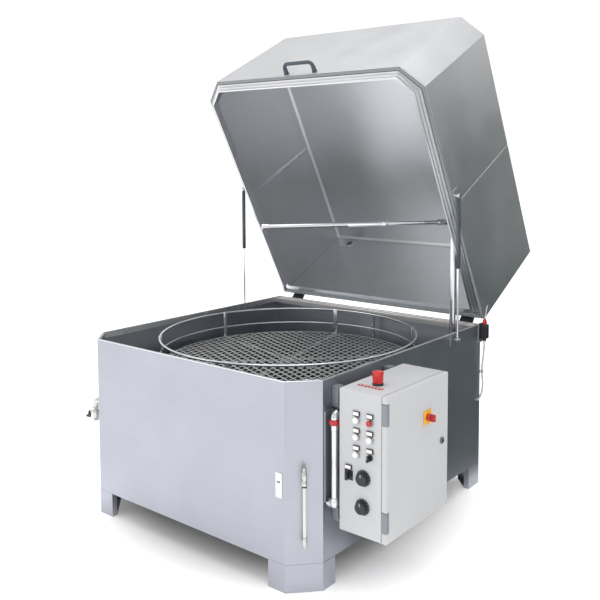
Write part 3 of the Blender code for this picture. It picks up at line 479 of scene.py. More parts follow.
# Beacon dome: clear red plastic that glows where light comes through.
beacon_red = grained(
    "clear_red_beacon_lens", (
        "#D40A06", "#EE1A10"
    ), 4, (0.1, 0.16), 0.02, Transmission_Weight=0.25, Coat_Weight=0.7
)
# Silicone seal: matt, grey and a little translucent.
silicone = grained(
    "grey_silicone_seal", ("#7E8385", "#92979A"), 2, (0.5, 0.62), 0.1, Subsurface_Weight=0.1
)
beige_seal = grained("beige_silicone_strip", ("#C9BDB4", "#DACFC7"), 2, (0.5, 0.62), 0.1)
# Black EPDM rubber: dry and matt.
black_rubber = grained("black_epdm_rubber", ("#16191A", "#222627"), 1.5, (0.7, 0.85), 0.15)
# Motor enamel over castings: smooth blue grey with a slight peel.
motor_enamel = grained("blue_grey_motor_enamel", ("#3B4855", "#4A5866"), 2.5, (0.35, 0.48), 0.15)
# Grey PVC sheath of the switch lead.
grey_pvc = grained("grey_pvc_sheath", ("#B4B7B9", "#CDD0D1"), 2, (0.42, 0.52), 0.05)
# Clear gauge tube, milky with wash water.
gauge_tube = grained(
    "milky_gauge_tube", (
        "#E4E5E0", "#F3F3EE"
    ), 5, (0.08, 0.14), 0.01, Transmission_Weight=0.15, Coat_Weight=0.8
)

# The finishes of each of the record's slots. A node shows its slot's first one.
SLOT_FINISHES = {
    "sheet": (
        sheet_tank, sheet_flat, sheet_lid, sheet_lid_flat, sheet_rim_painted_highlight, sheet_painted_highlight, floor_painted_shade, dull_steel
    ),
    "tube": (tube_polished, mesh_steel),
    "dark_steel": (phosphate,),
    "chromed_rod": (chrome_rod,),
    "spring_lacquer": (spring_lacquer,),
    "powder_coat": (powder_coat,),
    "zinc": (zinc_cast, zinc_plated, grey_paint),
    "black_plastic": (black_nylon, handle_nylon),
    "white_plastic": (white_plastic, gauge_tube),
    "red_plastic": (red_plastic, beacon_red),
    "rubber": (black_rubber, silicone, beige_seal),
    "motor_paint": (motor_enamel,),
    "grey_pvc": (grey_pvc,),
    "nickel_brass": (nickel_brass,),
}
FINISH_SLOT = {each.name: slot for slot, finishes in SLOT_FINISHES.items() for each in finishes}
NODE_FINISH = {
    "tank_floor": floor_painted_shade,
    "tank_rim": sheet_flat,
    "lid_front_shell": sheet_lid,
    "lid_rear_shell": sheet_lid,
    "lid_top_panel": sheet_lid_flat,
    "lid_rim_frame": sheet_lid_flat,
    "lid_gasket": silicone,
}


def finish_the_frame():
    """Gives every node of the frame its finish."""
    slots = {row["node"]: row["material_slot"] for row in frame["record"]["subparts"]}
    for name, made in frame["nodes"].items():
        made.data.materials.clear()
        made.data.materials.append(NODE_FINISH.get(name, SLOT_FINISHES[slots[name]][0]))


# Tank ---------------------------------------------------------------------------------------


def bolt(centre, axis, across=0.013, high=0.006):
    """A hexagon head on its washer, standing on a face."""
    head = hexagon(across, 0.0015, high)
    return [placed(head, centre, axis), placed(washer(0.002, across * 0.78, 0, 0.0016, 20), centre, axis)]


def tank_edges():
    """The rolled lip along the top edge, the weld beads over the legs and the folds inside the rim."""
    lip = [(x, y, TANK_TOP - 0.0012) for x, y in plan(0.0015)]
    piece("tank_top_lip", swept(lip, 0.0019, 8, closed=True), sheet_painted_highlight)
    bead_z = TANK_BOTTOM + 0.0006
    beads = []
    for side in (-1, 1):
        (inner_x, front_y), (outer_x, cut_y) = plan(-0.0002)[1:3]
        front = [(side * (inner_x - 0.095), front_y, bead_z), (side * inner_x, front_y, bead_z)]
        front += [(side * outer_x, cut_y, bead_z), (side * outer_x, cut_y + 0.083, bead_z)]
        beads.append(swept(front, 0.0011, 6))
        back_x, back_y = HALF_WIDTH + 0.0002, HALF_DEPTH + 0.0002
        back = [(side * back_x, back_y - 0.115, bead_z), (side * back_x, back_y, bead_z)]
        back += [(side * (back_x - 0.115), back_y, bead_z)]
        beads.append(swept(back, 0.0011, 6))
    piece("leg_weld_beads", beads, sheet_tank)
    inner = framed(plan(0.0135), plan(0.015), TANK_TOP - 0.03, TANK_TOP - 0.0035)
    piece("rim_inner_fold", inner, sheet_painted_highlight)


def rear_ledge():
    """Strips along the ledge in front of the lid's hinges: two folds and the seal between them."""
    half = HALF_WIDTH - 0.02
    low = TANK_TOP - 0.0077
    back = HALF_DEPTH - 0.0135
    folds = []
    for start, width, high in ((back - 0.004, 0.004, 0.006), (back - 0.03, 0.004, 0.004)):
        folds.append(block((-half, start, low), (half, start + width, low + high), 0.0012))
    piece("rear_ledge_folds", folds, sheet_painted_highlight)
    seals = []
    for start, width in ((back - 0.022, 0.012), (back - 0.044, 0.009)):
        seals.append(block((-half, start, low), (half, start + width, low + 0.0035), 0.0012))
    piece("rear_ledge_seals", seals, beige_seal)


def wall_fittings():
    """The small plate on the front, the pipe's channel, and the conduit's gland and clip."""
    face = -HALF_DEPTH - HAIR
    plate = block((0.579, face - 0.0022, 0.405), (0.614, face, 0.511), 0.0008)
    piece("drain_key_plate", plate, white_plastic)
    # The slot is a black block laid on the plate: painted shade for the dark of the recess.
    slot = block((0.588, face - 0.0034, 0.469), (0.604, face - 0.002, 0.475), 0.0006)
    piece("drain_key_slot", slot, black_nylon)
    wall = HALF_WIDTH + HAIR
    low_z, high_z, front, back = 0.385, 0.77, -0.6405, -0.583
    # The channel's darker plate stands where the wall lies in shade beside the pipe: painted shade.
    channel = [
        block((wall, front, low_z), (wall + 0.002, back, high_z)),
        block((wall, front, low_z), (wall + 0.012, front + 0.0025, high_z)),
        block((wall, back - 0.0025, low_z), (wall + 0.012, back, high_z)),
    ]
    piece("pipe_channel", channel, dull_steel)
    gland = placed(hexagon(0.017, 0, 0.0035), (wall, 0.722, 0.48), "X")
    piece("conduit_wall_gland", gland, zinc_plated)
    clip_x, clip_y, clip_z = wall, 0.759, 0.635
    clip = [
        block(
            (clip_x, clip_y - 0.026, clip_z - 0.01), (clip_x + 0.002, clip_y - 0.004, clip_z + 0.01), 0.0006
        ),
        placed(washer(0.006, 0.0078, -0.008, 0.008, 24), (0.7506, clip_y, clip_z)),
    ]
    piece("conduit_clip", clip, zinc_plated)
    screw = bolt((clip_x + 0.002, clip_y - 0.018, clip_z), "X", 0.007, 0.004)
    piece("conduit_clip_screw", screw, phosphate)


def spring_feet():
    """The nut on each spring's lower stud."""
    for side, name in ((-1, "left"), (1, "right")):
        low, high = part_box(f"spring_rod_{name}")
        eye = in_tank((low + high) / 2)
        eye.z = joint_at(f"spring_rod_pivot_{name}").z
        axis = "X" if side > 0 else "-X"
        face = (eye.x + side * 0.0121, eye.y, eye.z)
        piece(f"spring_foot_nut_{name}", placed(hexagon(0.013, 0, 0.0055), face, axis), zinc_plated)


# Lid ----------------------------------------------------------------------------------------


def lid_seams():
    """The weld across each side of the lid, outside and in, and the trims where walls meet the top."""
    z0, z1 = LID_BOTTOM + 0.004, LID_TOP - 0.004
    outside, inside = [], []
    for side in (-1, 1):
        face = side * (HALF_WIDTH + 0.0002)
        outside.append(swept([(face, LID_SEAM_Y, z0), (face, LID_SEAM_Y, z1)], 0.0012, 6))
        edges = sorted((side * (HALF_WIDTH - SHEET - 0.0018), side * (HALF_WIDTH - SHEET - HAIR)))
        strip = block((edges[0], LID_SEAM_Y - 0.01, z0 + 0.035), (edges[1], LID_SEAM_Y + 0.01, z1 - 0.03))
        inside.append(rounded(strip, 0.0006))
    piece("lid_seam_welds_outside", outside, sheet_painted_highlight, body="lid")
    piece("lid_seam_strips_inside", inside, sheet_painted_highlight, body="lid")
    leg, thick, roof = 0.012, 0.002, LID_TOP - SHEET - 0.0004
    wall_x, wall_y = HALF_WIDTH - SHEET - 0.0004, HALF_DEPTH - SHEET - 0.0004
    band = [
        (wall_y, roof - leg), (wall_y, roof - leg - thick), (wall_y - leg - thick, roof), (wall_y - leg, roof)
    ]
    trims = [bridged([(-wall_x, y, z) for y, z in band], [(wall_x, y, z) for y, z in band])]
    front_y = CORNER_CUT - HALF_DEPTH
    for side in (-1, 1):
        outline = [(side * wall_x, roof - leg), (side * wall_x, roof - leg - thick)]
        outline += [(side * (wall_x - leg - thick), roof), (side * (wall_x - leg), roof)]
        near, far = ([(x, y, z) for x, z in outline] for y in (front_y, wall_y))
        trims.append(bridged(near, far))
    piece("lid_roof_trims", trims, sheet_lid_flat, body="lid")
    corner = []
    for side in (-1, 1):
        x, y = side * (wall_x - 0.0012), wall_y - 0.0012
        corner.append(swept([(x, y, z0 + 0.03), (x, y, roof - leg)], 0.0022, 8))
        inner = plan(SHEET + 0.0012)
        for place in (1, 2):
            corner_x, corner_y = inner[place]
            ends = [(side * corner_x, corner_y, z0 + 0.03), (side * corner_x, corner_y, roof - 0.004)]
            corner.append(swept(ends, 0.0014, 6))
    piece("lid_corner_welds", corner, sheet_lid, body="lid")


def skirt(outer, inner, low, high):
    """A band that follows the front and both sides of the lid, and stops short of the rear ledge."""
    rear_y = HALF_DEPTH - 0.066
    way = []
    for inset in (outer, inner):
        corners = [corner for corner in plan(inset) if corner[1] < 0]
        left = sorted((corner for corner in corners if corner[0] < 0), key=lambda corner: -corner[1])
        right = sorted((corner for corner in corners if corner[0] > 0), key=lambda corner: corner[1])
        way.append([(inset - HALF_WIDTH, rear_y)] + left + right + [(HALF_WIDTH - inset, rear_y)])
    return prism(way[0] + way[1][::-1], low, high)


def lid_rim():
    """The folded rim: a flange, and three steps of sheet that reach down inside the tank when shut."""
    level, thick = RIM_LEVEL, 0.0024
    steps = [(0.02, 0.012), (0.031, 0.026), (0.042, 0.0398)]
    shapes = [framed(plan(SHEET + 0.0004), plan(0.0528), level, level + thick)]
    above = level + 0.001
    for place, (inset, drop) in enumerate(steps):
        low = LID_BOTTOM - drop
        following = steps[place + 1][0] + thick if place < 2 else 0.0528
        shapes.append(skirt(inset, inset + thick, low, above))
        shapes.append(skirt(inset, following, low, low + thick))
        above = low + thick
    shapes.append(skirt(0.0528 - thick, 0.0528, LID_BOTTOM - 0.0398, level + 0.001))
    rim = [rounded(shape, 0.0007, 1) for shape in shapes]
    piece("lid_rim_folds", rim, sheet_rim_painted_highlight, "lid_rim_frame", "lid")
    hem = framed(plan(0.0006), plan(0.0034), LID_BOTTOM - 0.0032, LID_BOTTOM - 0.0002)
    piece("lid_mouth_hem", rounded(hem, 0.0012), sheet_rim_painted_highlight, body="lid")
    top = [(x, y, LID_TOP - 0.0014) for x, y in plan(0.0012)]
    piece("lid_top_edge", swept(top, 0.0014, 8, closed=True), sheet_lid, body="lid")


def lid_handle():
    """A moulded bow handle: a round grip that swells into its two flanged feet."""
    centre_x, spread, proud, z = -0.0185, 0.0975, 0.054, LID_BOTTOM + 0.028
    face = -HALF_DEPTH - HAIR
    corners = [(centre_x - spread, face, z), (centre_x - spread, face - proud, z)]
    corners += [(centre_x + spread, face - proud, z), (centre_x + spread, face, z)]
    route = rounded_path(corners, 0.026, 8)
    count = len(route) - 1
    radii = [0.01 + 0.003 * abs(2 * place / count - 1) ** 6 for place in range(count + 1)]
    feet = []
    for way in (-1, 1):
        profile = [(0, 0), (0.014, 0), (0.0148, 0.003), (0.013, 0.008), (0.011, 0.012), (0, 0.012)]
        feet.append(lathe(profile, 28, (centre_x + way * spread, face, z), "-Y"))
    grip = swept(route, 0.011, 20, radii=radii)
    piece("lid_handle_bow", [grip] + feet, handle_nylon, "lid_handle", "lid")


def lid_port():
    """The vapour outlet in the lid's rear wall: square plate, collar and a dark louvred mouth."""
    middle = in_tank(OPENED.inverted() @ (sum(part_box("lid_vent_port"), Vector()) / 2))
    inside = HALF_DEPTH - SHEET - HAIR
    x, z, half = middle.x, middle.z, 0.0475
    plate = block((x - half, inside - 0.0018, z - half), (x + half, inside, z + half), 0.0006)
    collar = lathe(
        [(0.021, 0), (0.028, 0), (0.028, 0.006), (0.0265, 0.008), (0.021, 0.008)],
        40,
        (x, inside, z),
        "-Y",
        ring=True,
    )
    port = [plate, collar]
    for dx in (-1, 1):
        for dz in (-1, 1):
            port += bolt((x + dx * 0.038, inside - 0.0018, z + dz * 0.038), "-Y", 0.007, 0.004)
    piece("lid_port_plate", port, sheet_lid_flat, "lid_vent_port", "lid")
    # A black disc closes the mouth: painted shade for the dark inside the duct.
    mouth = [placed(rod(0.0208, 0.002, 0.0032, 32), (x, inside, z), "-Y")]
    piece("lid_port_mouth", mouth, black_rubber, body="lid")
    louvres = [
        around((x, inside - 0.005, z + 0.0075 * row), (0.017, 0.0018, 0.0008)) for row in (-2, -1, 0, 1, 2)
    ]
    piece("lid_port_louvres", louvres, zinc_plated, body="lid")


def hinge_fasteners():
    """Hexagon bolts through both leaves of each hinge."""
    for name in ("left", "right"):
        low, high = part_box(f"hinge_leaf_{name}")
        left, right = in_tank(low).x, in_tank(high).x
        face = HALF_DEPTH + 0.0053
        fixed, moving = [], []
        for share in (0.32, 0.68):
            x = left + (right - left) * share
            fixed += bolt((x, face, 0.808), "Y", 0.01, 0.006)
            moving += bolt((x, face, LID_BOTTOM + 0.06), "Y", 0.01, 0.006)
        piece(f"hinge_bolts_tank_{name}", fixed, zinc_plated)
        piece(f"hinge_bolts_lid_{name}", moving, zinc_plated, body="lid")


# Gas springs --------------------------------------------------------------------------------


def spring_eye(bore, shoulder, rim, half, ease):
    """A flat ring round a stud, drawn about Z, its two outer edges eased."""
    profile = [(bore, -half), (shoulder, -half), (rim, ease - half)]
    return turned(profile + [(r, -z) for r, z in reversed(profile)], 32, ring=True)


def gas_springs():
    """Each spring: lacquered tube with rolled ends, its gland, a chromed rod and flat steel eyes."""
    for side, name in ((-1, "left"), (1, "right")):
        foot = joint_at(f"spring_rod_pivot_{name}")
        tube_low, tube_high = box_in_tank(f"spring_tube_{name}")
        x, y = foot.x, foot.y
        top, low, r = tube_high.z - 0.023, tube_low.z, 0.0112
        head_z = tube_high.z - 0.011
        skin = [(0, top), (0.006, top), (r - 0.002, top - 0.001), (r, top - 0.004), (r, low + 0.01)]
        skin += [(r - 0.001, low + 0.008), (r, low + 0.006), (r - 0.0015, low + 0.001), (0.0068, low)]
        skin += [(0.0068, top - 0.012), (0, top - 0.012)]
        barrel = lathe(skin, 40, (x, y, 0))
        piece(f"spring_barrel_{name}", barrel, spring_lacquer, f"spring_tube_{name}", f"spring_tube_{name}")
        neck = placed(rod(0.005, top - 0.002, head_z - 0.004, 20), (x, y, 0))
        end = placed(spring_eye(0.0068, 0.0108, 0.0112, 0.0085, 0.0015), (x, y, head_z), "X")
        piece(f"spring_head_eye_{name}", [neck, end], zinc_plated, body=f"spring_tube_{name}")
        shaft = placed(rod(0.0058, foot.z + 0.012, foot.z + 0.39, 28, 0.001), (x, y, 0))
        piece(f"spring_piston_rod_{name}", shaft, chrome_rod, f"spring_rod_{name}", f"spring_rod_{name}")
        eye = placed(spring_eye(0.0049, 0.01, 0.0108, 0.0095, 0.0015), foot, "X")
        nut = placed(hexagon(0.013, foot.z + 0.01, foot.z + 0.0175), (x, y, 0))
        piece(f"spring_foot_eye_{name}", [eye, nut], zinc_plated, body=f"spring_rod_{name}")


# Basket and drive ---------------------------------------------------------------------------

BASKET_RADIUS = 0.675
BASKET_TOP = 0.885
BASKET_FLOOR = 0.745
BASKET_MIDDLE = 0.8
SPOKES = 6
SPOKE_TURN = math.radians(-14)


def spoke_turns():
    """The turns about Z that carry one spoke to each of its places."""
    return [Matrix.Rotation(SPOKE_TURN + math.tau * n / SPOKES, 4, "Z") for n in range(SPOKES)]


def turned_by(shape, turn):
    """A shape after a turn, or any other matrix."""
    bmesh.ops.transform(shape, matrix=turn, verts=shape.verts)
    return shape


def basket_frame():
    """Two bent rings on six posts over a welded base ring and flat spokes."""
    rings = [
        swept(circle(BASKET_RADIUS, BASKET_TOP, 120), 0.006, 14, closed=True),
        swept(circle(BASKET_RADIUS, BASKET_MIDDLE, 120), 0.0042, 12, closed=True),
        swept(circle(BASKET_RADIUS, BASKET_FLOOR - 0.008, 120), 0.006, 12, closed=True),
    ]
    piece("basket_rings", rings, tube_polished, "basket_frame", "basket")
    posts, spokes, welds = [], [], []
    for turn in spoke_turns():
        radius = BASKET_RADIUS
        bar = block(
            (radius - 0.0095, -0.011, BASKET_FLOOR - 0.012), (radius - 0.0055, 0.011, BASKET_TOP + 0.007)
        )
        posts.append(turned_by(rounded(bar, 0.0012), turn))
        low, high = BASKET_FLOOR - 0.018, BASKET_FLOOR - 0.0035
        spoke = block((0.0525, -0.008, low), (radius - 0.004, 0.008, high), 0.0012)
        spokes.append(turned_by(spoke, turn))
        for height, thick in ((BASKET_TOP, 0.0085), (BASKET_MIDDLE, 0.0066), (BASKET_FLOOR - 0.008, 0.0088)):
            lump = bmesh.new()
            bmesh.ops.create_icosphere(lump, subdivisions=2, radius=thick)
            squat = Matrix.Translation((radius, 0, height)) @ Matrix.Diagonal((1, 1.15, 0.9, 1))
            welds.append(turned_by(turned_by(lump, squat), turn))
    piece("basket_posts", posts, tube_polished, body="basket")
    piece("basket_spokes", spokes, zinc_plated, body="basket", slot="tube")
    piece("basket_weld_lumps", welds, zinc_plated, body="basket", slot="tube")


def strand(start, end, width, thick, lean):
    """One flat strand of expanded metal, leaning about its own length."""
    along = (end - start).normalized()
    flat = Vector((-along.y, along.x, 0))
    wide = (flat * math.cos(lean) + Vector((0, 0, math.sin(lean)))) * width / 2
    deep = (Vector((0, 0, math.cos(lean))) - flat * math.sin(lean)) * thick / 2
    corners = (-wide - deep, wide - deep, wide + deep, deep - wide)
    return [point + corner for point in (start, end) for corner in corners]


def clipped(start, end, outer):
    """The stretch of a strand that lies inside a circle, or None."""
    inside = [point.length <= outer for point in (start, end)]
    if all(inside):
        return start, end
    if not any(inside):
        return None
    kept, lost = (start, end) if inside[0] else (end, start)
    low, high = 0.0, 1.0
    for _ in range(12):
        middle = (low + high) / 2
        if kept.lerp(lost, middle).length <= outer:
            low = middle
        else:
            high = middle
    return kept, kept.lerp(lost, low)


def basket_mesh():
    """Expanded metal floor: diamonds cut and pulled from one sheet, each strand twisted.

    They are 76 by 46 mm, coarser than on a real basket, so that the slots show."""
    long_way, short_way, width, thick = 0.076, 0.046, 0.0062, 0.0025
    outer, twist, lie = 0.664, math.radians(20), math.radians(37)
    level = Vector((0, 0, BASKET_FLOOR - 0.0022))
    shape = bmesh.new()
    rows = int(2 * outer / (long_way / 2)) + 2
    columns = int(2 * outer / short_way) + 2
    faces = ((0, 1, 2, 3), (7, 6, 5, 4), (0, 4, 5, 1), (1, 5, 6, 2), (2, 6, 7, 3), (3, 7, 4, 0))
    for row in range(-rows // 2, rows // 2):
        for column in range(-columns // 2, columns // 2):
            start = Vector(((column + (row % 2) / 2) * short_way, row * long_way / 2, 0))
            for way in (-1, 1):
                end = start + Vector((way * short_way / 2, long_way / 2, 0))
                kept = clipped(start, end, outer)
                if kept is None or (kept[1] - kept[0]).length < 0.004:
                    continue
                corners = strand(kept[0] + level, kept[1] + level, width, thick, way * twist)
                verts = [shape.verts.new(corner) for corner in corners]
                for face in faces:
                    shape.faces.new([verts[place] for place in face])
    turned_by(shape, Matrix.Rotation(lie, 4, "Z"))
    piece("basket_expanded_mesh", shape, mesh_steel, "basket_floor", "basket", smooth=20)
    edge = washer(outer - 0.004, outer + 0.003, BASKET_FLOOR - 0.003, BASKET_FLOOR - 0.0002, 120)
    piece("basket_mesh_edge", rounded(edge, 0.0006, 1), mesh_steel, body="basket")


def hub_ring():
    """The hub and its shaft under the mesh, and the bolts that clamp the spokes to it."""
    low = box_in_tank("basket_hub_shaft")[0].z
    hub = [(0, low), (0.0195, low), (0.0195, 0.69), (0.03, 0.696), (0.05, 0.706), (0.052, 0.712)]
    hub += [(0.052, 0.7385), (0.05, 0.7405), (0, 0.7405)]
    piece("basket_hub_turned", turned(hub, 40), zinc_plated, "basket_hub_shaft", "basket")
    shapes = []
    for n in range(6):
        angle = math.tau * (n + 0.5) / 6
        at = (0.062 * math.cos(angle), 0.062 * math.sin(angle), BASKET_FLOOR - 0.02)
        shapes += [placed(hexagon(0.01, 0, 0.006), at)]
    shapes.append(placed(washer(0.053, 0.074, -0.004, 0.0, 40), (0, 0, BASKET_FLOOR - 0.02)))
    piece("basket_hub_ring", shapes, zinc_plated, body="basket")


def finned_motor(name, stands_for, x, y0, y1, z, radius):
    """A motor lying along Y: finned barrel, fan cowl with its grille, and terminal box."""
    barrel = placed(rod(radius * 0.9, 0, y1 - y0 - 0.045, 40, 0.002), (x, y0, z), "Y")
    fins = []
    count = 24
    for n in range(count):
        angle = math.tau * n / count
        fin = block((radius * 0.88, -0.0013, 0.012), (radius, 0.0013, y1 - y0 - 0.055))
        fins.append(placed(turned_by(fin, Matrix.Rotation(angle, 4, "Z")), (x, y0, z), "Y"))
    cowl_profile = [
        (0, -0.045), (radius * 0.98, -0.045), (radius * 0.99, -0.012), (radius * 0.93, -0.002), (0, -0.002)
    ]
    cowl = lathe(cowl_profile, 40, (x, y1, z), "Y")
    piece(name, [barrel, cowl] + fins, motor_enamel, stands_for)
    grille = [
        placed(washer(r, r + 0.0025, -0.002, -0.0005, 36), (x, y1, z), "Y")
        for r in (0.01, 0.019, 0.028, 0.037)
    ]
    piece(f"{name}_fan_grille", grille, black_nylon)
    edges = (x - radius - 0.012, x - radius * 0.85)
    middle = (y0 + y1) / 2 - 0.02
    terminal = block((edges[0], middle - 0.032, z - 0.028), (edges[1], middle + 0.032, z + 0.028), 0.003)
    piece(f"{name}_terminal_box", terminal, black_nylon)


def drive_and_pump():
    """The geared motor under the tank's floor and the spray pump beside it."""
    low, high = box_in_tank("basket_gearmotor")
    ceiling, z = high.z - HAIR, 0.18
    case = block((-0.074, -0.074, low.z), (0.074, 0.074, ceiling), 0.008, 3)
    ribs = [around((0, -0.0752, low.z + 0.02 + 0.018 * n), (0.058, 0.0012, 0.003), 0.0008) for n in range(5)]
    piece("gearbox_case", [case] + ribs, motor_enamel, "basket_gearmotor")
    finned_motor("basket_motor", None, 0.0, 0.0745, high.y, z, 0.0518)
    low, high = box_in_tank("pump_unit")
    x, y, z = 0.52, 0.52, 0.15
    finned_motor("pump_motor", "pump_unit", x, low.y + 0.012, y - 0.006, z, 0.0575)
    shell = [(0, -0.006), (0.058, -0.006), (0.064, 0), (0.074, 0.004), (0.0775, 0.012), (0.0775, 0.042)]
    shell += [(0.074, 0.05), (0.03, 0.0545), (0, 0.0545)]
    volute = lathe(shell, 48, (x, y, z), "Y")
    out = rounded_path([(x, y + 0.03, z), (0.64, y + 0.03, z), (0.64, 0.62, z), (0.64, 0.62, 0.199)], 0.022)
    flange = placed(washer(0.014, 0.026, 0.19, 0.1985, 32), (0.64, 0.62, 0))
    bolts = []
    for n in range(8):
        angle = math.tau * (n + 0.5) / 8
        bolts += bolt((x + 0.068 * math.cos(angle), y + 0.05, z + 0.068 * math.sin(angle)), "Y", 0.008, 0.005)
    piece("pump_volute", [volute, swept(out, 0.0148, 20), flange], tube_polished)
    piece("pump_volute_bolts", bolts, zinc_plated)


# Spray pipes --------------------------------------------------------------------------------


def spray_pipes():
    """Riser, side feed and the two arms, with unions, end caps and fan nozzles."""
    riser, upper_z, lower_z = (0.64, 0.62), 1.47, 0.62
    top = Vector((*riser, upper_z))
    end = Vector((0.05, -0.25, upper_z))
    way = (end - top).normalized()
    bend = rounded_path([(*riser, 0.2005), top, top + way * 0.06], 0.035, 10)
    side_y, side_low = 0.705, 0.4
    feed = [
        (*riser, side_low), (riser[0], side_y, side_low), (0.054, side_y, side_low), (0.054, side_y, 0.86)
    ]
    start = Vector((*riser, lower_z))
    inward = (Vector((0, 0, lower_z)) - start).normalized()
    pipes = [
        swept(bend, 0.017, 28),
        swept(rounded_path(feed, 0.03, 8), 0.01, 18),
        swept([start, start + inward * 0.045], 0.016, 24),
        placed(rod(0.0205, lower_z - 0.025, lower_z + 0.025, 28, 0.002), (*riser, 0)),
        placed(rod(0.0225, 0.244, 0.254, 28, 0.002), (*riser, 0)),
    ]
    for n in range(4):
        nozzle_z = 0.48 + 0.11 * n
        pipes.append(placed(rod(0.0055, 0.006, 0.016, 12, 0.001), (0.054, side_y, nozzle_z), "-Y"))
    piece("spray_riser", pipes, tube_polished, "spray_manifold")
    first = top + way * 0.0603
    arm = [swept([first, end], 0.0125, 28)]
    for at, length, radius in (
        (first, 0.035, 0.0172), (first.lerp(end, 0.33), 0.028, 0.0153), (end - way * 0.03, 0.036, 0.0163)
    ):
        count = 4
        route = [at + way * length * k / count for k in range(count + 1)]
        arm.append(swept(route, radius, 28, radii=[radius - 0.0015, radius, radius, radius, radius - 0.0015]))
    for n in range(6):
        at = first.lerp(end, 0.14 + 0.145 * n)
        arm.append(swept([at + way.cross(UP) * 0.011, at + way.cross(UP) * 0.0185], 0.004, 12))
    piece("upper_arm_tube", arm, tube_polished, "upper_spray_arm")
    hose_band = [swept([first + way * d, first + way * (d + 0.004)], 0.0181, 28) for d in (0.008, 0.024)]
    piece("upper_arm_union_bands", hose_band, zinc_plated)
    low_from, low_to = start + inward * 0.0453, Vector((0, 0, lower_z)) - inward * 0.075
    lower = [
        swept([low_from, low_to], 0.0125, 24),
        swept([low_to - inward * 0.02, low_to + inward * 0.005], 0.015, 24),
    ]
    for n in range(6):
        at = low_from.lerp(low_to, 0.08 + 0.16 * n)
        lower.append(
            swept([at + Vector((0, 0, 0.01)), at + Vector((0, 0, 0.02))], 0.0048, 12, radii=[0.0055, 0.0038])
        )
    piece("lower_arm_tube", lower, tube_polished, "lower_spray_arm")


# Fittings -----------------------------------------------------------------------------------


def outlet_tap():
    """Swan neck from the wall to a quarter-turn valve, with hexagon unions and a sleeved lever."""
    y, high_z, low_z, valve_z = -0.6, 0.505, 0.395, 0.432
    wall, out = -HALF_WIDTH - HAIR, -HALF_WIDTH - 0.132
    route = rounded_path([(wall, y, high_z), (out, y, high_z), (out, y, low_z)], 0.035, 12)
    body = [(0, -0.03), (0.0135, -0.03), (0.0175, -0.026), (0.0175, -0.02), (0.0205, -0.015), (0.0215, 0)]
    body += [(0.0205, 0.015), (0.0175, 0.02), (0.0175, 0.026), (0, 0.026)]
    shapes = [
        swept(route, 0.016, 28),
        lathe(
            [(0, 0), (0.028, 0), (0.028, 0.004), (0.022, 0.008), (0.0165, 0.01), (0, 0.01)],
            36,
            (wall, y, high_z),
            "-X",
        ),
        lathe(body, 36, (out, y, valve_z)),
        placed(hexagon(0.036, -0.0395, -0.026), (out, y, valve_z)),
        placed(hexagon(0.036, 0.0225, 0.034), (out, y, valve_z)),
        placed(rod(0.0095, 0.016, 0.0325, 24, 0.001), (out, y, valve_z), "-X"),
    ]
    piece("tap_swan_neck", shapes, nickel_brass, "tap_body")
    start, tip = out - 0.0343, -HALF_WIDTH - 0.2215
    steel = [
        (start + HAIR, valve_z), (start - 0.01, valve_z), (tip + 0.035, valve_z - 0.026),
        (tip + 0.01, valve_z - 0.033),
    ]
    upper = [(x, z + 0.0018) for x, z in steel]
    outline = upper + [(x, z - 0.0018) for x, z in reversed(steel)]
    near, far = ([(x, y + offset, z) for x, z in outline] for offset in (-0.0078, 0.0078))
    blade = bridged(near, far)
    piece("tap_lever_blade", rounded(blade, 0.0007), zinc_plated, "tap_lever", "tap_lever")
    grip = [Vector((start - 0.016, y, valve_z - 0.0032)), Vector((start - 0.022, y, valve_z - 0.0065))]
    grip += [Vector((tip + 0.03, y, valve_z - 0.029)), Vector((tip + 0.005, y, valve_z - 0.0345))]
    sleeve = swept(grip, 0.008, 20, radii=[0.007, 0.0086, 0.009, 0.0065])
    piece("tap_lever_sleeve", sleeve, black_nylon, body="tap_lever")
    boss = lathe(
        [(0, 0.0001), (0.008, 0.0001), (0.008, 0.007), (0.0068, 0.009), (0, 0.009)],
        6,
        (start, y, valve_z),
        "-X",
    )
    piece("tap_lever_nut", boss, zinc_plated, body="tap_lever")


def fill_pipe():
    """The fresh water pipe on the right wall: elbows, a threaded socket and its red ring."""
    wall, x, y = HALF_WIDTH + 0.0065, 0.778, -0.612
    low, high, back = 0.38, 0.757, -0.3
    corners = [(wall, y, low), (x, y, low), (x, y, high), (x, back, high), (HALF_WIDTH + HAIR, back, high)]
    elbow = [
        (0, -0.0208), (0.01, -0.0192), (0.0168, -0.0142), (0.0208, -0.006), (0.0208, 0.01), (0.0195, 0.013)
    ]
    elbow += [(0.019, 0.022), (0.0165, 0.025), (0, 0.025)]
    shapes = [
        swept(rounded_path(corners, 0.018, 10), 0.0155, 28),
        lathe(elbow, 32, (x, y, low)),
        placed(rod(0.02, 0, 0.018, 32, 0.002), (wall, y, low), "X"),
        placed(rod(0.0172, 0.69, 0.714, 32, 0.001), (x, y, 0)),
        swept(rounded_path([(x, y, 0.7375), (x, y, high), (x, y + 0.04, high)], 0.016, 8), 0.0182, 28),
    ]
    piece("fill_pipe_run", shapes, tube_polished, "fill_pipe")
    ring = [
        (0.0175, 0.7155), (0.0222, 0.7155), (0.0248, 0.7185), (0.0248, 0.7335), (0.0222, 0.7365),
        (0.0175, 0.7365),
    ]
    band = lathe(ring, 36, (x, y, 0), ring=True, wave=0.03, waves=18)
    piece("pipe_ring_red", band, red_plastic, "pipe_ring")


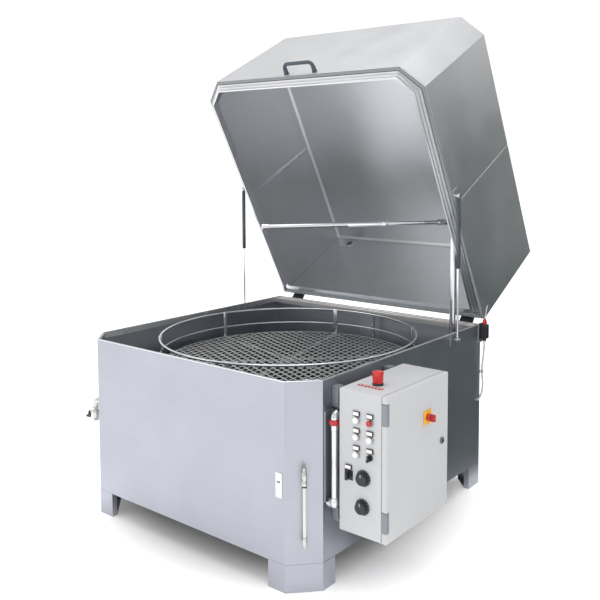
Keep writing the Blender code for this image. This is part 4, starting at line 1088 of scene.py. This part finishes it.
def level_gauge():
    """A sight tube on the cut corner between two angle valves."""
    middle = Vector((HALF_WIDTH - CORNER_CUT / 2, -HALF_DEPTH + CORNER_CUT / 2, 0))
    out = Vector((1, -1, 0)).normalized()
    centre = middle + out * 0.03
    tube = placed(rod(0.0068, 0.235, 0.491, 28, 0.001), centre)
    piece("gauge_sight_tube", tube, gauge_tube, "level_gauge")
    fittings, caps = [], []
    upper = [(0, 0.471), (0.011, 0.471), (0.012, 0.475), (0.012, 0.487), (0.0095, 0.491), (0.0095, 0.497)]
    upper += [(0.0118, 0.501), (0.0118, 0.521), (0.009, 0.525), (0.0075, 0.539), (0.006, 0.547), (0, 0.547)]
    lower = [(0, 0.204), (0.006, 0.204), (0.0085, 0.213), (0.0108, 0.219), (0.0108, 0.235), (0.0095, 0.239)]
    lower += [(0.0095, 0.245), (0.0105, 0.249), (0, 0.249)]
    fittings += [lathe(upper, 28, centre), lathe(lower, 28, centre)]
    for height in (0.51, 0.225):
        lift = Vector((0, 0, height))
        wall = middle + out * 0.0003 + lift
        fittings.append(swept([wall, centre + lift], 0.0072, 20))
        caps.append(swept([wall, wall + out * 0.0045], 0.0128, 6))
    piece("gauge_valves", fittings, nickel_brass)
    piece("gauge_wall_nuts", caps, zinc_plated)
    ring = placed(washer(0.007, 0.01, 0.464, 0.469, 28), centre)
    piece("gauge_tube_seal", ring, black_rubber)


def limit_switch():
    """The lid switch: moulded body with a screwed cover, red boot, sprung rod and its conduit."""
    low, high = box_in_tank("limit_switch_body")
    foot = low.z + 0.012
    body = block((low.x, low.y, foot), (high.x, high.y, high.z), 0.0035, 3)
    x, y = 0.7625, 0.763
    cover = block(
        (high.x - 0.001, low.y + 0.004, foot + 0.005),
        (high.x + 0.0022, high.y - 0.004, high.z - 0.006),
        0.0012,
    )
    throat = placed(rod(0.0105, low.z, foot + 0.004, 6), (x, y, 0))
    piece("limit_switch_case", [body, cover, throat], black_nylon, "limit_switch_body")
    screws = []
    for dy, z in ((-0.011, high.z - 0.013), (0.011, foot + 0.012)):
        screws.append(placed(rod(0.0026, 0, 0.0012, 16), (high.x + 0.0022, y + dy, z), "X"))
    piece("limit_switch_screws", screws, zinc_plated)
    base = high.z + 0.0032
    boot = [(0, base), (0.013, base), (0.0138, base + 0.004), (0.012, base + 0.007), (0.0128, base + 0.011)]
    boot += [
        (0.0102, base + 0.015), (0.0108, base + 0.019), (0.0075, base + 0.025), (0.005, base + 0.031),
        (0, base + 0.032),
    ]
    cap = lathe(boot, 28, (x, y, 0))
    piece("limit_switch_boot", cap, red_plastic, "limit_switch_rod", "limit_switch_rod")
    route = smooth_path(
        [(x, y, base + 0.026), (x + 0.004, y + 0.006, 0.965), (x + 0.0072, y + 0.0105, 0.996)], 5
    )
    hook = rounded_path(
        [route[-1], route[-1] + Vector((0.0006, 0.001, 0.006)), route[-1] + Vector((0.006, -0.004, 0.0075))],
        0.002,
        3,
    )
    rod_piece = [swept(route, 0.0027, 12), swept(hook, 0.0024, 10)]
    piece("limit_switch_feeler", rod_piece, chrome_rod, body="limit_switch_rod")
    turns = [
        (x, y, low.z - 0.0006),
        (x, y, low.z - 0.012),
        (0.76, 0.764, 0.76),
        (0.754, 0.764, 0.7),
        (0.75, 0.759, 0.635),
        (0.751, 0.77, 0.575),
        (0.75, 0.768, 0.528),
        (0.749, 0.748, 0.497),
        (0.748, 0.722, 0.48),
    ]
    lead = swept(smooth_path(turns, 10), 0.0055, 16)
    piece("switch_lead", lead, grey_pvc, "switch_conduit")
    collar = lathe([(0, 0), (0.009, 0), (0.009, 0.01), (0.0065, 0.02), (0, 0.02)], 24, (x, y, low.z - 0.02))
    piece("switch_lead_gland", collar, white_plastic)


# Control cabinet ----------------------------------------------------------------------------


# How far the control gear stands out of the cabinet's narrow face.
CASE_SETBACK = 0.014


def cabinet_case():
    """The folded case, open behind the door, with its hinge blocks, glands and the gear inside."""
    low, high = box_in_tank("cabinet_box")
    low.y += CASE_SETBACK
    high.x = box_in_tank("cabinet_door")[0].x - 0.0005
    wall = 0.0025
    case = block(low, high)
    case.faces.ensure_lookup_table()
    mouth = max(case.faces, key=lambda face: face.calc_center_median().x)
    bmesh.ops.inset_region(case, faces=[mouth], thickness=wall, use_even_offset=True)
    sunk = bmesh.ops.extrude_face_region(case, geom=[mouth])["geom"]
    depth = high.x - low.x - wall
    bmesh.ops.translate(
        case, vec=(-depth, 0, 0), verts=[v for v in sunk if isinstance(v, bmesh.types.BMVert)]
    )
    bmesh.ops.delete(case, geom=[mouth], context="FACES_ONLY")
    bmesh.ops.recalc_face_normals(case, faces=case.faces)
    corners = [Vector((x, y, z)) for x in (low.x, high.x) for y in (low.y, high.y) for z in (low.z, high.z)]
    at_corner = [vert for vert in case.verts if min((vert.co - at).length for at in corners) < 1e-5]
    long_edges = [
        edge
        for edge in case.edges
        if all(vert in at_corner for vert in edge.verts)
        and not all(vert.co.x > high.x - 0.0001 for vert in edge.verts)
    ]
    bmesh.ops.bevel(case, geom=long_edges, offset=0.0055, segments=3, profile=0.5, affect="EDGES")
    piece("cabinet_case", case, powder_coat, "cabinet_box")
    pivot = joint_at("cabinet_door_hinge")
    door_x = box_in_tank("cabinet_door")[1].x
    blocks, pins = [], []
    for z0, z1 in ((0.765, 0.85), (0.33, 0.412)):
        blocks.append(
            block((high.x + 0.0012, low.y - 0.003, z0), (door_x + 0.0015, low.y + 0.015, z1), 0.0022, 3)
        )
        pins.append(placed(rod(0.0035, z0 - 0.0018, z1 + 0.0018, 16, 0.001), (pivot.x, low.y + 0.006, 0)))
    piece("cabinet_hinge_blocks", blocks, grey_paint)
    piece("cabinet_hinge_pins", pins, zinc_plated)
    plate_low = (low.x + 0.006, low.y + 0.02, low.z + 0.03)
    plate_high = (low.x + 0.0085, high.y - 0.02, high.z - 0.03)
    piece("cabinet_mounting_plate", block(plate_low, plate_high, 0.0008), zinc_plated)
    rails = [
        block((low.x + 0.009, low.y + 0.04, z), (low.x + 0.016, high.y - 0.04, z + 0.035), 0.001)
        for z in (0.42, 0.58, 0.74)
    ]
    piece("cabinet_din_rails", rails, zinc_plated)
    gear = []
    for z in (0.42, 0.58, 0.74):
        for n in range(7):
            y = low.y + 0.075 + 0.052 * n
            gear.append(around((low.x + 0.046, y, z + 0.0175), (0.028, 0.0225, 0.037), 0.002))
    piece("cabinet_contactors", gear, black_nylon)
    gland = placed(rod(0.01, low.z - 0.0115, low.z - HAIR, 24, 0.002), (0.955, low.y + 0.03, 0))
    glands = [gland] + [
        placed(hexagon(0.026, low.z - 0.01, low.z - HAIR), (0.905, low.y + 0.09 + 0.05 * n, 0))
        for n in range(3)
    ]
    piece("cabinet_cable_glands", glands, white_plastic)


def cabinet_door():
    """The door pan, notched at its hinges and hollow behind, with its rubber seal."""
    low, high = box_in_tank("cabinet_door")
    slab = block(low, high, 0.0045, 4)
    notch_far = low.y + 0.018
    skin = piece("cabinet_door_pan", slab, powder_coat, "cabinet_door", "cabinet_door")
    cutters = []
    for z0, z1 in ((0.763, 0.852), (0.328, 0.414)):
        cutters.append(block((low.x - 0.01, low.y - 0.01, z0), (high.x + 0.01, notch_far, z1)))
    margin = 0.012
    cutters.append(
        block(
            (low.x - 0.01, low.y + 0.03, low.z + margin), (high.x - 0.0025, high.y - margin, high.z - margin)
        )
    )
    tool_mesh = bpy.data.meshes.new("door_cutter")
    tool_shape = together(cutters)
    bmesh.ops.transform(tool_shape, matrix=TANK, verts=tool_shape.verts)
    tool_shape.to_mesh(tool_mesh)
    tool_shape.free()
    tool = bpy.data.objects.new("door_cutter", tool_mesh)
    bpy.context.scene.collection.objects.link(tool)
    change = skin.modifiers.new("cut", "BOOLEAN")
    change.operation = "DIFFERENCE"
    change.object = tool
    bpy.context.view_layer.update()
    graph = bpy.context.evaluated_depsgraph_get()
    cut = bpy.data.meshes.new_from_object(skin.evaluated_get(graph))
    skin.modifiers.clear()
    skin.data = cut
    bpy.data.objects.remove(tool)
    cut.shade_smooth()
    cut.set_sharp_from_angle(angle=math.radians(35))
    seal_plan = [
        (low.y + 0.034, low.z + 0.016), (high.y - 0.016, low.z + 0.016), (high.y - 0.016, high.z - 0.016),
        (low.y + 0.034, high.z - 0.016),
    ]
    seal = swept([(low.x + 0.012, y, z) for y, z in seal_plan], 0.0035, 10, closed=True)
    piece("cabinet_door_seal", seal, black_rubber, body="cabinet_door")


def door_fittings():
    """The main switch's yellow plate and red grip, and the door lock with its key slot."""
    pivot = joint_at("main_switch_turn")
    plate = around((pivot.x + 0.0016, pivot.y, pivot.z), (0.0014, 0.03, 0.03), 0.001)
    piece("main_switch_plate", plate, yellow_plastic, body="cabinet_door")
    ticks = []
    for turn in (0, 90, 180, 270):
        tick = around((0.0033, 0, 0.0255), (0.0004, 0.0012, 0.0026))
        turned_by(tick, Matrix.Translation(pivot) @ Matrix.Rotation(math.radians(turn), 4, "X"))
        ticks.append(tick)
    piece("main_switch_ticks", ticks, black_nylon, body="cabinet_door")
    disc = lathe([(0, 0.0042), (0.016, 0.0042), (0.0162, 0.01), (0.0125, 0.018), (0, 0.019)], 40, pivot, "X")
    bar = around((pivot.x + 0.0245, pivot.y, pivot.z), (0.015, 0.0065, 0.016), 0.0045, 3)
    piece("main_switch_grip", [disc, bar], red_plastic, "main_switch_handle", "main_switch_handle")
    lock = joint_at("door_lock_turn")
    barrel = [(0.0065, 0.0001), (0.015, 0.0001), (0.015, 0.0035), (0.012, 0.0068), (0.0065, 0.0068)]
    piece("lock_rose", lathe(barrel, 40, lock, "X", ring=True), zinc_cast, "door_lock", "door_lock")
    core = [
        placed(rod(0.0062, 0.0003, 0.005, 28, 0.0008), lock, "X"),
        around((lock.x + 0.0052, lock.y, lock.z), (0.001, 0.0055, 0.0013)),
    ]
    piece("lock_core", core, phosphate, body="door_lock")


CABINET_FACE = box_in_tank("cabinet_box")[0].y + CASE_SETBACK - HAIR
BUTTONS = ("button_pump", "button_heater", "button_basket", "button_stop", "button_light")


def legend(x, z, face, half_x=0.0158, half_z=0.01):
    """A black holder with a blank white insert, above one control."""
    holder = around((x, face - 0.0036, z), (half_x, 0.0034, half_z), 0.0012)
    insert = around((x, face - 0.0074, z + 0.0006), (half_x - 0.0022, 0.001, half_z - 0.003), 0.0006)
    return holder, insert


def push_buttons():
    """Caps with a soft dish, collars round them and blank legend holders."""
    face = CABINET_FACE
    holders, inserts, collars = [], [], []
    for name in BUTTONS:
        low, high = box_in_tank(name)
        x, z = (low.x + high.x) / 2, (low.z + high.z) / 2
        cap = [(0, 0.0041), (0.0122, 0.0041), (0.0123, 0.0125), (0.0108, 0.015), (0.008, 0.0145), (0, 0.0136)]
        finish = red_plastic if name == "button_stop" else white_plastic
        piece(f"{name}_cap", lathe(cap, 36, (x, face, z), "-Y"), finish, name, name)
        rim = [(0.0131, 0.0002), (0.0158, 0.0002), (0.0158, 0.005), (0.0148, 0.0085), (0.0131, 0.0085)]
        collars.append(lathe(rim, 36, (x, face, z), "-Y", ring=True))
        holder, insert = legend(x, z + 0.027, face)
        holders.append(holder)
        inserts.append(insert)
    for x, z in ((0.968, 0.622 + 0.027), (0.863, 0.528 + 0.0335)):
        holder, insert = legend(x, z, face)
        holders.append(holder)
        inserts.append(insert)
    piece("legend_holders", holders, black_nylon)
    piece("legend_inserts", inserts, white_plastic)
    piece("button_collars", collars, zinc_plated)


def rotary_controls():
    """Selector knob, mode switch and the two large dials with their pointers and plain scale ticks."""
    face = CABINET_FACE
    knob = joint_at("selector_knob_turn")
    base = lathe(
        [(0, 0.0002), (0.013, 0.0002), (0.013, 0.006), (0.0115, 0.0085), (0, 0.0085)],
        36,
        (knob.x, face, knob.z),
        "-Y",
    )
    lever = around((knob.x, face - 0.0165, knob.z), (0.0045, 0.0092, 0.0128), 0.0022, 3)
    piece("selector_knob_grip", [base, lever], black_nylon, "selector_knob", "selector_knob")
    mark = around((knob.x, face - 0.0259, knob.z + 0.006), (0.0008, 0.0004, 0.0045))
    piece("selector_knob_mark", mark, white_plastic, body="selector_knob")
    mode = joint_at("mode_switch_turn")
    disc = lathe(
        [(0, 0.0024), (0.0148, 0.0024), (0.0148, 0.0085), (0.0135, 0.01), (0, 0.01)],
        36,
        (mode.x, face, mode.z),
        "-Y",
    )
    bar = around((mode.x, face - 0.017, mode.z), (0.0054, 0.007, 0.0165), 0.002, 3)
    piece("mode_switch_grip", [disc, bar], black_nylon, "mode_switch", "mode_switch")
    plate = around((mode.x, face - 0.001, mode.z), (0.0205, 0.0009, 0.0205), 0.0008)
    piece("mode_switch_plate", plate, black_nylon)
    for name in ("thermostat_dial", "timer_dial"):
        at = joint_at(f"{name}_turn")
        skirt = turned([(0, 0.0002), (0.0335, 0.0002), (0.0338, 0.003), (0.03, 0.005), (0, 0.005)], 56)
        crown = turned(
            [(0, 0.0048), (0.0268, 0.0048), (0.0255, 0.0215), (0.0235, 0.024), (0.02, 0.0232), (0, 0.0222)],
            96,
            wave=0.045,
            waves=16,
        )
        shapes = [placed(skirt, (at.x, face, at.z), "-Y"), placed(crown, (at.x, face, at.z), "-Y")]
        piece(f"{name}_knob", shapes, black_nylon, name, name)
        marks = [around((at.x, face - 0.0238, at.z + 0.015), (0.0008, 0.0004, 0.007))]
        for n in range(11):
            angle = math.radians(-135 + 27 * n)
            tick = around((0, 0, 0.0312), (0.0005, 0.0003, 0.0015))
            turned_by(tick, Matrix.Translation((at.x, face - 0.0046, at.z)) @ Matrix.Rotation(angle, 4, "Y"))
            marks.append(tick)
        piece(f"{name}_marks", marks, white_plastic, body=name)


def beacon():
    """The lamp on the cabinet: black base, ribbed red dome and a flat tag on the roof beside it."""
    low, high = box_in_tank("beacon")
    x, y, z = (low.x + high.x) / 2, (low.y + high.y) / 2, low.z
    dome = [
        (0, 0.01), (0.0222, 0.01), (0.0228, 0.014), (0.024, 0.044), (0.0243, 0.05), (0.0225, 0.056),
        (0.019, 0.0578), (0, 0.0578),
    ]
    piece("beacon_dome", lathe(dome, 96, (x, y, z), wave=0.03, waves=32), beacon_red, "beacon")
    base = turned([(0, 0.0002), (0.0238, 0.0002), (0.0238, 0.007), (0.0226, 0.0095), (0, 0.0095)], 40)
    piece("beacon_base", placed(base, (x, y, z)), black_nylon)
    roof = box_in_tank("cabinet_box")[1].z + 0.0002
    tag = block((0.85, -0.556, roof), (0.972, -0.534, roof + 0.001), 0.0004, 1)
    piece("roof_tag", tag, red_plastic)
    dashes = []
    for n in range(7):
        x = 0.859 + 0.0165 * n
        dashes.append(block((x, -0.549, roof + 0.0011), (x + 0.0085, -0.541, roof + 0.0015), 0.0002, 1))
    piece("roof_tag_dashes", dashes, white_plastic)


def cabinet_mounts():
    """Each mount: steel feet on the wall, rubber blocks against the case and a rail between them."""
    wall, back = HALF_WIDTH + 0.0004, box_in_tank("cabinet_box")[0].x - 0.0004
    for name, low_z, high_z in (("top", 0.776, 0.866), ("bottom", 0.29, 0.372)):
        feet, rubber = [], []
        for low_y, high_y in ((-0.5845, -0.5455), (-0.1995, -0.1585)):
            feet.append(block((wall, low_y, low_z), (wall + 0.036, high_y, high_z), 0.002))
            rubber.append(block((wall + 0.0365, low_y, low_z + 0.01), (back, high_y, high_z - 0.034), 0.003))
        middle = (low_z + high_z) / 2
        feet.append(
            block((wall + 0.045, -0.545, middle - 0.011), (wall + 0.056, -0.2, middle + 0.011), 0.002)
        )
        piece(f"cabinet_mount_foot_{name}", feet, dull_steel)
        piece(f"cabinet_mount_block_{name}", rubber, black_rubber, f"cabinet_mount_{name}")


# Stage, light and camera ---------------------------------------------------------------------


def stage_finish(name, code, shine=0.0):
    """A matt stage colour, which may also shine."""
    linear = colour(code)
    values = {"Base_Color": linear, "Emission_Color": linear, "Emission_Strength": shine}
    return finish_of(name, Roughness=0.9, Metallic=0.0, **values)[0]


def quad(name, corners, finish):
    """A flat stage piece through four corners."""
    mesh = bpy.data.meshes.new(name)
    mesh.from_pydata([Vector(corner) for corner in corners], [], [(0, 1, 2, 3)])
    mesh.materials.append(finish)
    made = bpy.data.objects.new(name, mesh)
    bpy.context.scene.collection.objects.link(made)
    return made


def reflection_card(name, corners, code, shine):
    """A studio card that only polished metal sees, so that it casts no shadow and hides nothing."""
    card = quad(name, corners, stage_finish(name, code, shine))
    card.visible_camera = False
    card.visible_diffuse = False
    card.visible_shadow = False
    card.visible_transmission = False
    return card


def studio():
    """The pale floor, with painted light that brightens it away from the tank and leaves painted shade round it,
    the cards beside it and the air's light.
    """
    reach, card_z = 30.0, 0.004
    floor = quad(
        "studio_floor",
        [(-reach, -reach, 0), (reach, -reach, 0), (reach, reach, 0), (-reach, reach, 0)],
        stage_finish("pale_floor", "#F6F6F6"),
    )
    floor.location = ORIGIN + Vector((0, 0, -0.0005))
    tree = floor.data.materials[0].node_tree
    place = add(tree, "ShaderNodeTexCoord")
    away = add(
        tree, "ShaderNodeVectorMath", {"operation": "LENGTH"}, {"Vector": place.outputs["Object"]}
    )
    # Painted light: the floor glows more the further it lies from the tank, which leaves a painted shade round the
    # tank.
    glow = add(
        tree,
        "ShaderNodeMapRange",
        {"interpolation_type": "SMOOTHSTEP"},
        {"Value": away.outputs["Value"]},
        From_Min=0.66,
        From_Max=1.15,
        To_Min=0.0,
        To_Max=0.5,
    )
    tree.links.new(glow.outputs["Result"], tree.nodes["Principled BSDF"].inputs["Emission Strength"])
    right = HALF_WIDTH + 0.03
    left = -HALF_WIDTH - 0.06
    reflection_card(
        "bright_floor_card",
        [(-2.6, -1.3, card_z), (left, -1.3, card_z), (left, 0.9, card_z), (-2.6, 0.9, card_z)],
        "#E8EAEE",
        1.1,
    )
    reflection_card(
        "dark_floor_card",
        [(right, -0.6, card_z), (9, -0.6, card_z), (9, 9, card_z), (right, 9, card_z)],
        "#3F4B49",
        0.25,
    )
    reflection_card(
        "dark_wall_card",
        [(3.0, 9.0, 0.0), (9.0, 1.0, 0.0), (9.0, 1.0, 3.0), (3.0, 9.0, 3.0)],
        "#37423F",
        0.2,
    )
    world = bpy.data.worlds.new("studio_air")
    bpy.context.scene.world = world
    world.use_nodes = True
    air = world.node_tree.nodes["Background"]
    air.inputs["Color"].default_value = colour("#F8F8F8")
    seen = add(world.node_tree, "ShaderNodeLightPath")
    power = add(
        world.node_tree,
        "ShaderNodeMapRange",
        links={"Value": seen.outputs["Is Camera Ray"]},
        To_Min=1.0,
        To_Max=1.15,
    )
    world.node_tree.links.new(power.outputs["Result"], air.inputs["Strength"])


def softbox(name, at, target, size, power, tint="#FFFFFF"):
    """A soft rectangular lamp, given by its size in metres and its power in watts."""
    lamp = bpy.data.lights.new(name, "AREA")
    lamp.shape = "RECTANGLE"
    lamp.size, lamp.size_y = size
    lamp.energy = power
    lamp.color = colour(tint)[:3]
    made = bpy.data.objects.new(name, lamp)
    made.location = at
    made.rotation_euler = (Vector(target) - Vector(at)).to_track_quat("-Z", "Y").to_euler()
    made.visible_camera = False
    bpy.context.scene.collection.objects.link(made)


def lights():
    """A large key from the left, one above, and a weak fill under the open lid."""
    softbox("key_softbox", (-3.6, -4.6, 2.6), (0, 0, 0.9), (3.0, 3.0), 30)
    softbox("top_softbox", (0.4, -0.6, 5.2), (0, 0.2, 0.8), (3.5, 3.5), 75)
    softbox("lid_fill", (0.05, -0.1, 1.3), (0.0, 0.75, 1.95), (1.2, 0.7), 2.0, "#F4F8FF")


def camera():
    """A view from the right front at eye height."""
    lens = bpy.data.cameras.new("camera")
    lens.sensor_width = 36
    lens.lens = 47.02
    lens.shift_x = -0.0632
    lens.shift_y = -0.1365
    made = bpy.data.objects.new("camera", lens)
    made.location = ORIGIN + Vector((2.711, -3.116, 1.807))
    forward = Vector((-0.606, 0.792, -0.075))
    made.rotation_euler = forward.to_track_quat("-Z", "Y").to_euler()
    bpy.context.scene.collection.objects.link(made)
    bpy.context.scene.camera = made
    bpy.context.scene.view_settings.view_transform = "Standard"


for make in (
    finish_the_frame,
    tank_edges,
    rear_ledge,
    wall_fittings,
    spring_feet,
    lid_seams,
    lid_rim,
    lid_handle,
    lid_port,
    hinge_fasteners,
    gas_springs,
    basket_frame,
    basket_mesh,
    hub_ring,
    drive_and_pump,
    spray_pipes,
    outlet_tap,
    fill_pipe,
    level_gauge,
    limit_switch,
    cabinet_case,
    cabinet_door,
    door_fittings,
    push_buttons,
    rotary_controls,
    beacon,
    cabinet_mounts,
    studio,
    lights,
    camera,
):
    make()
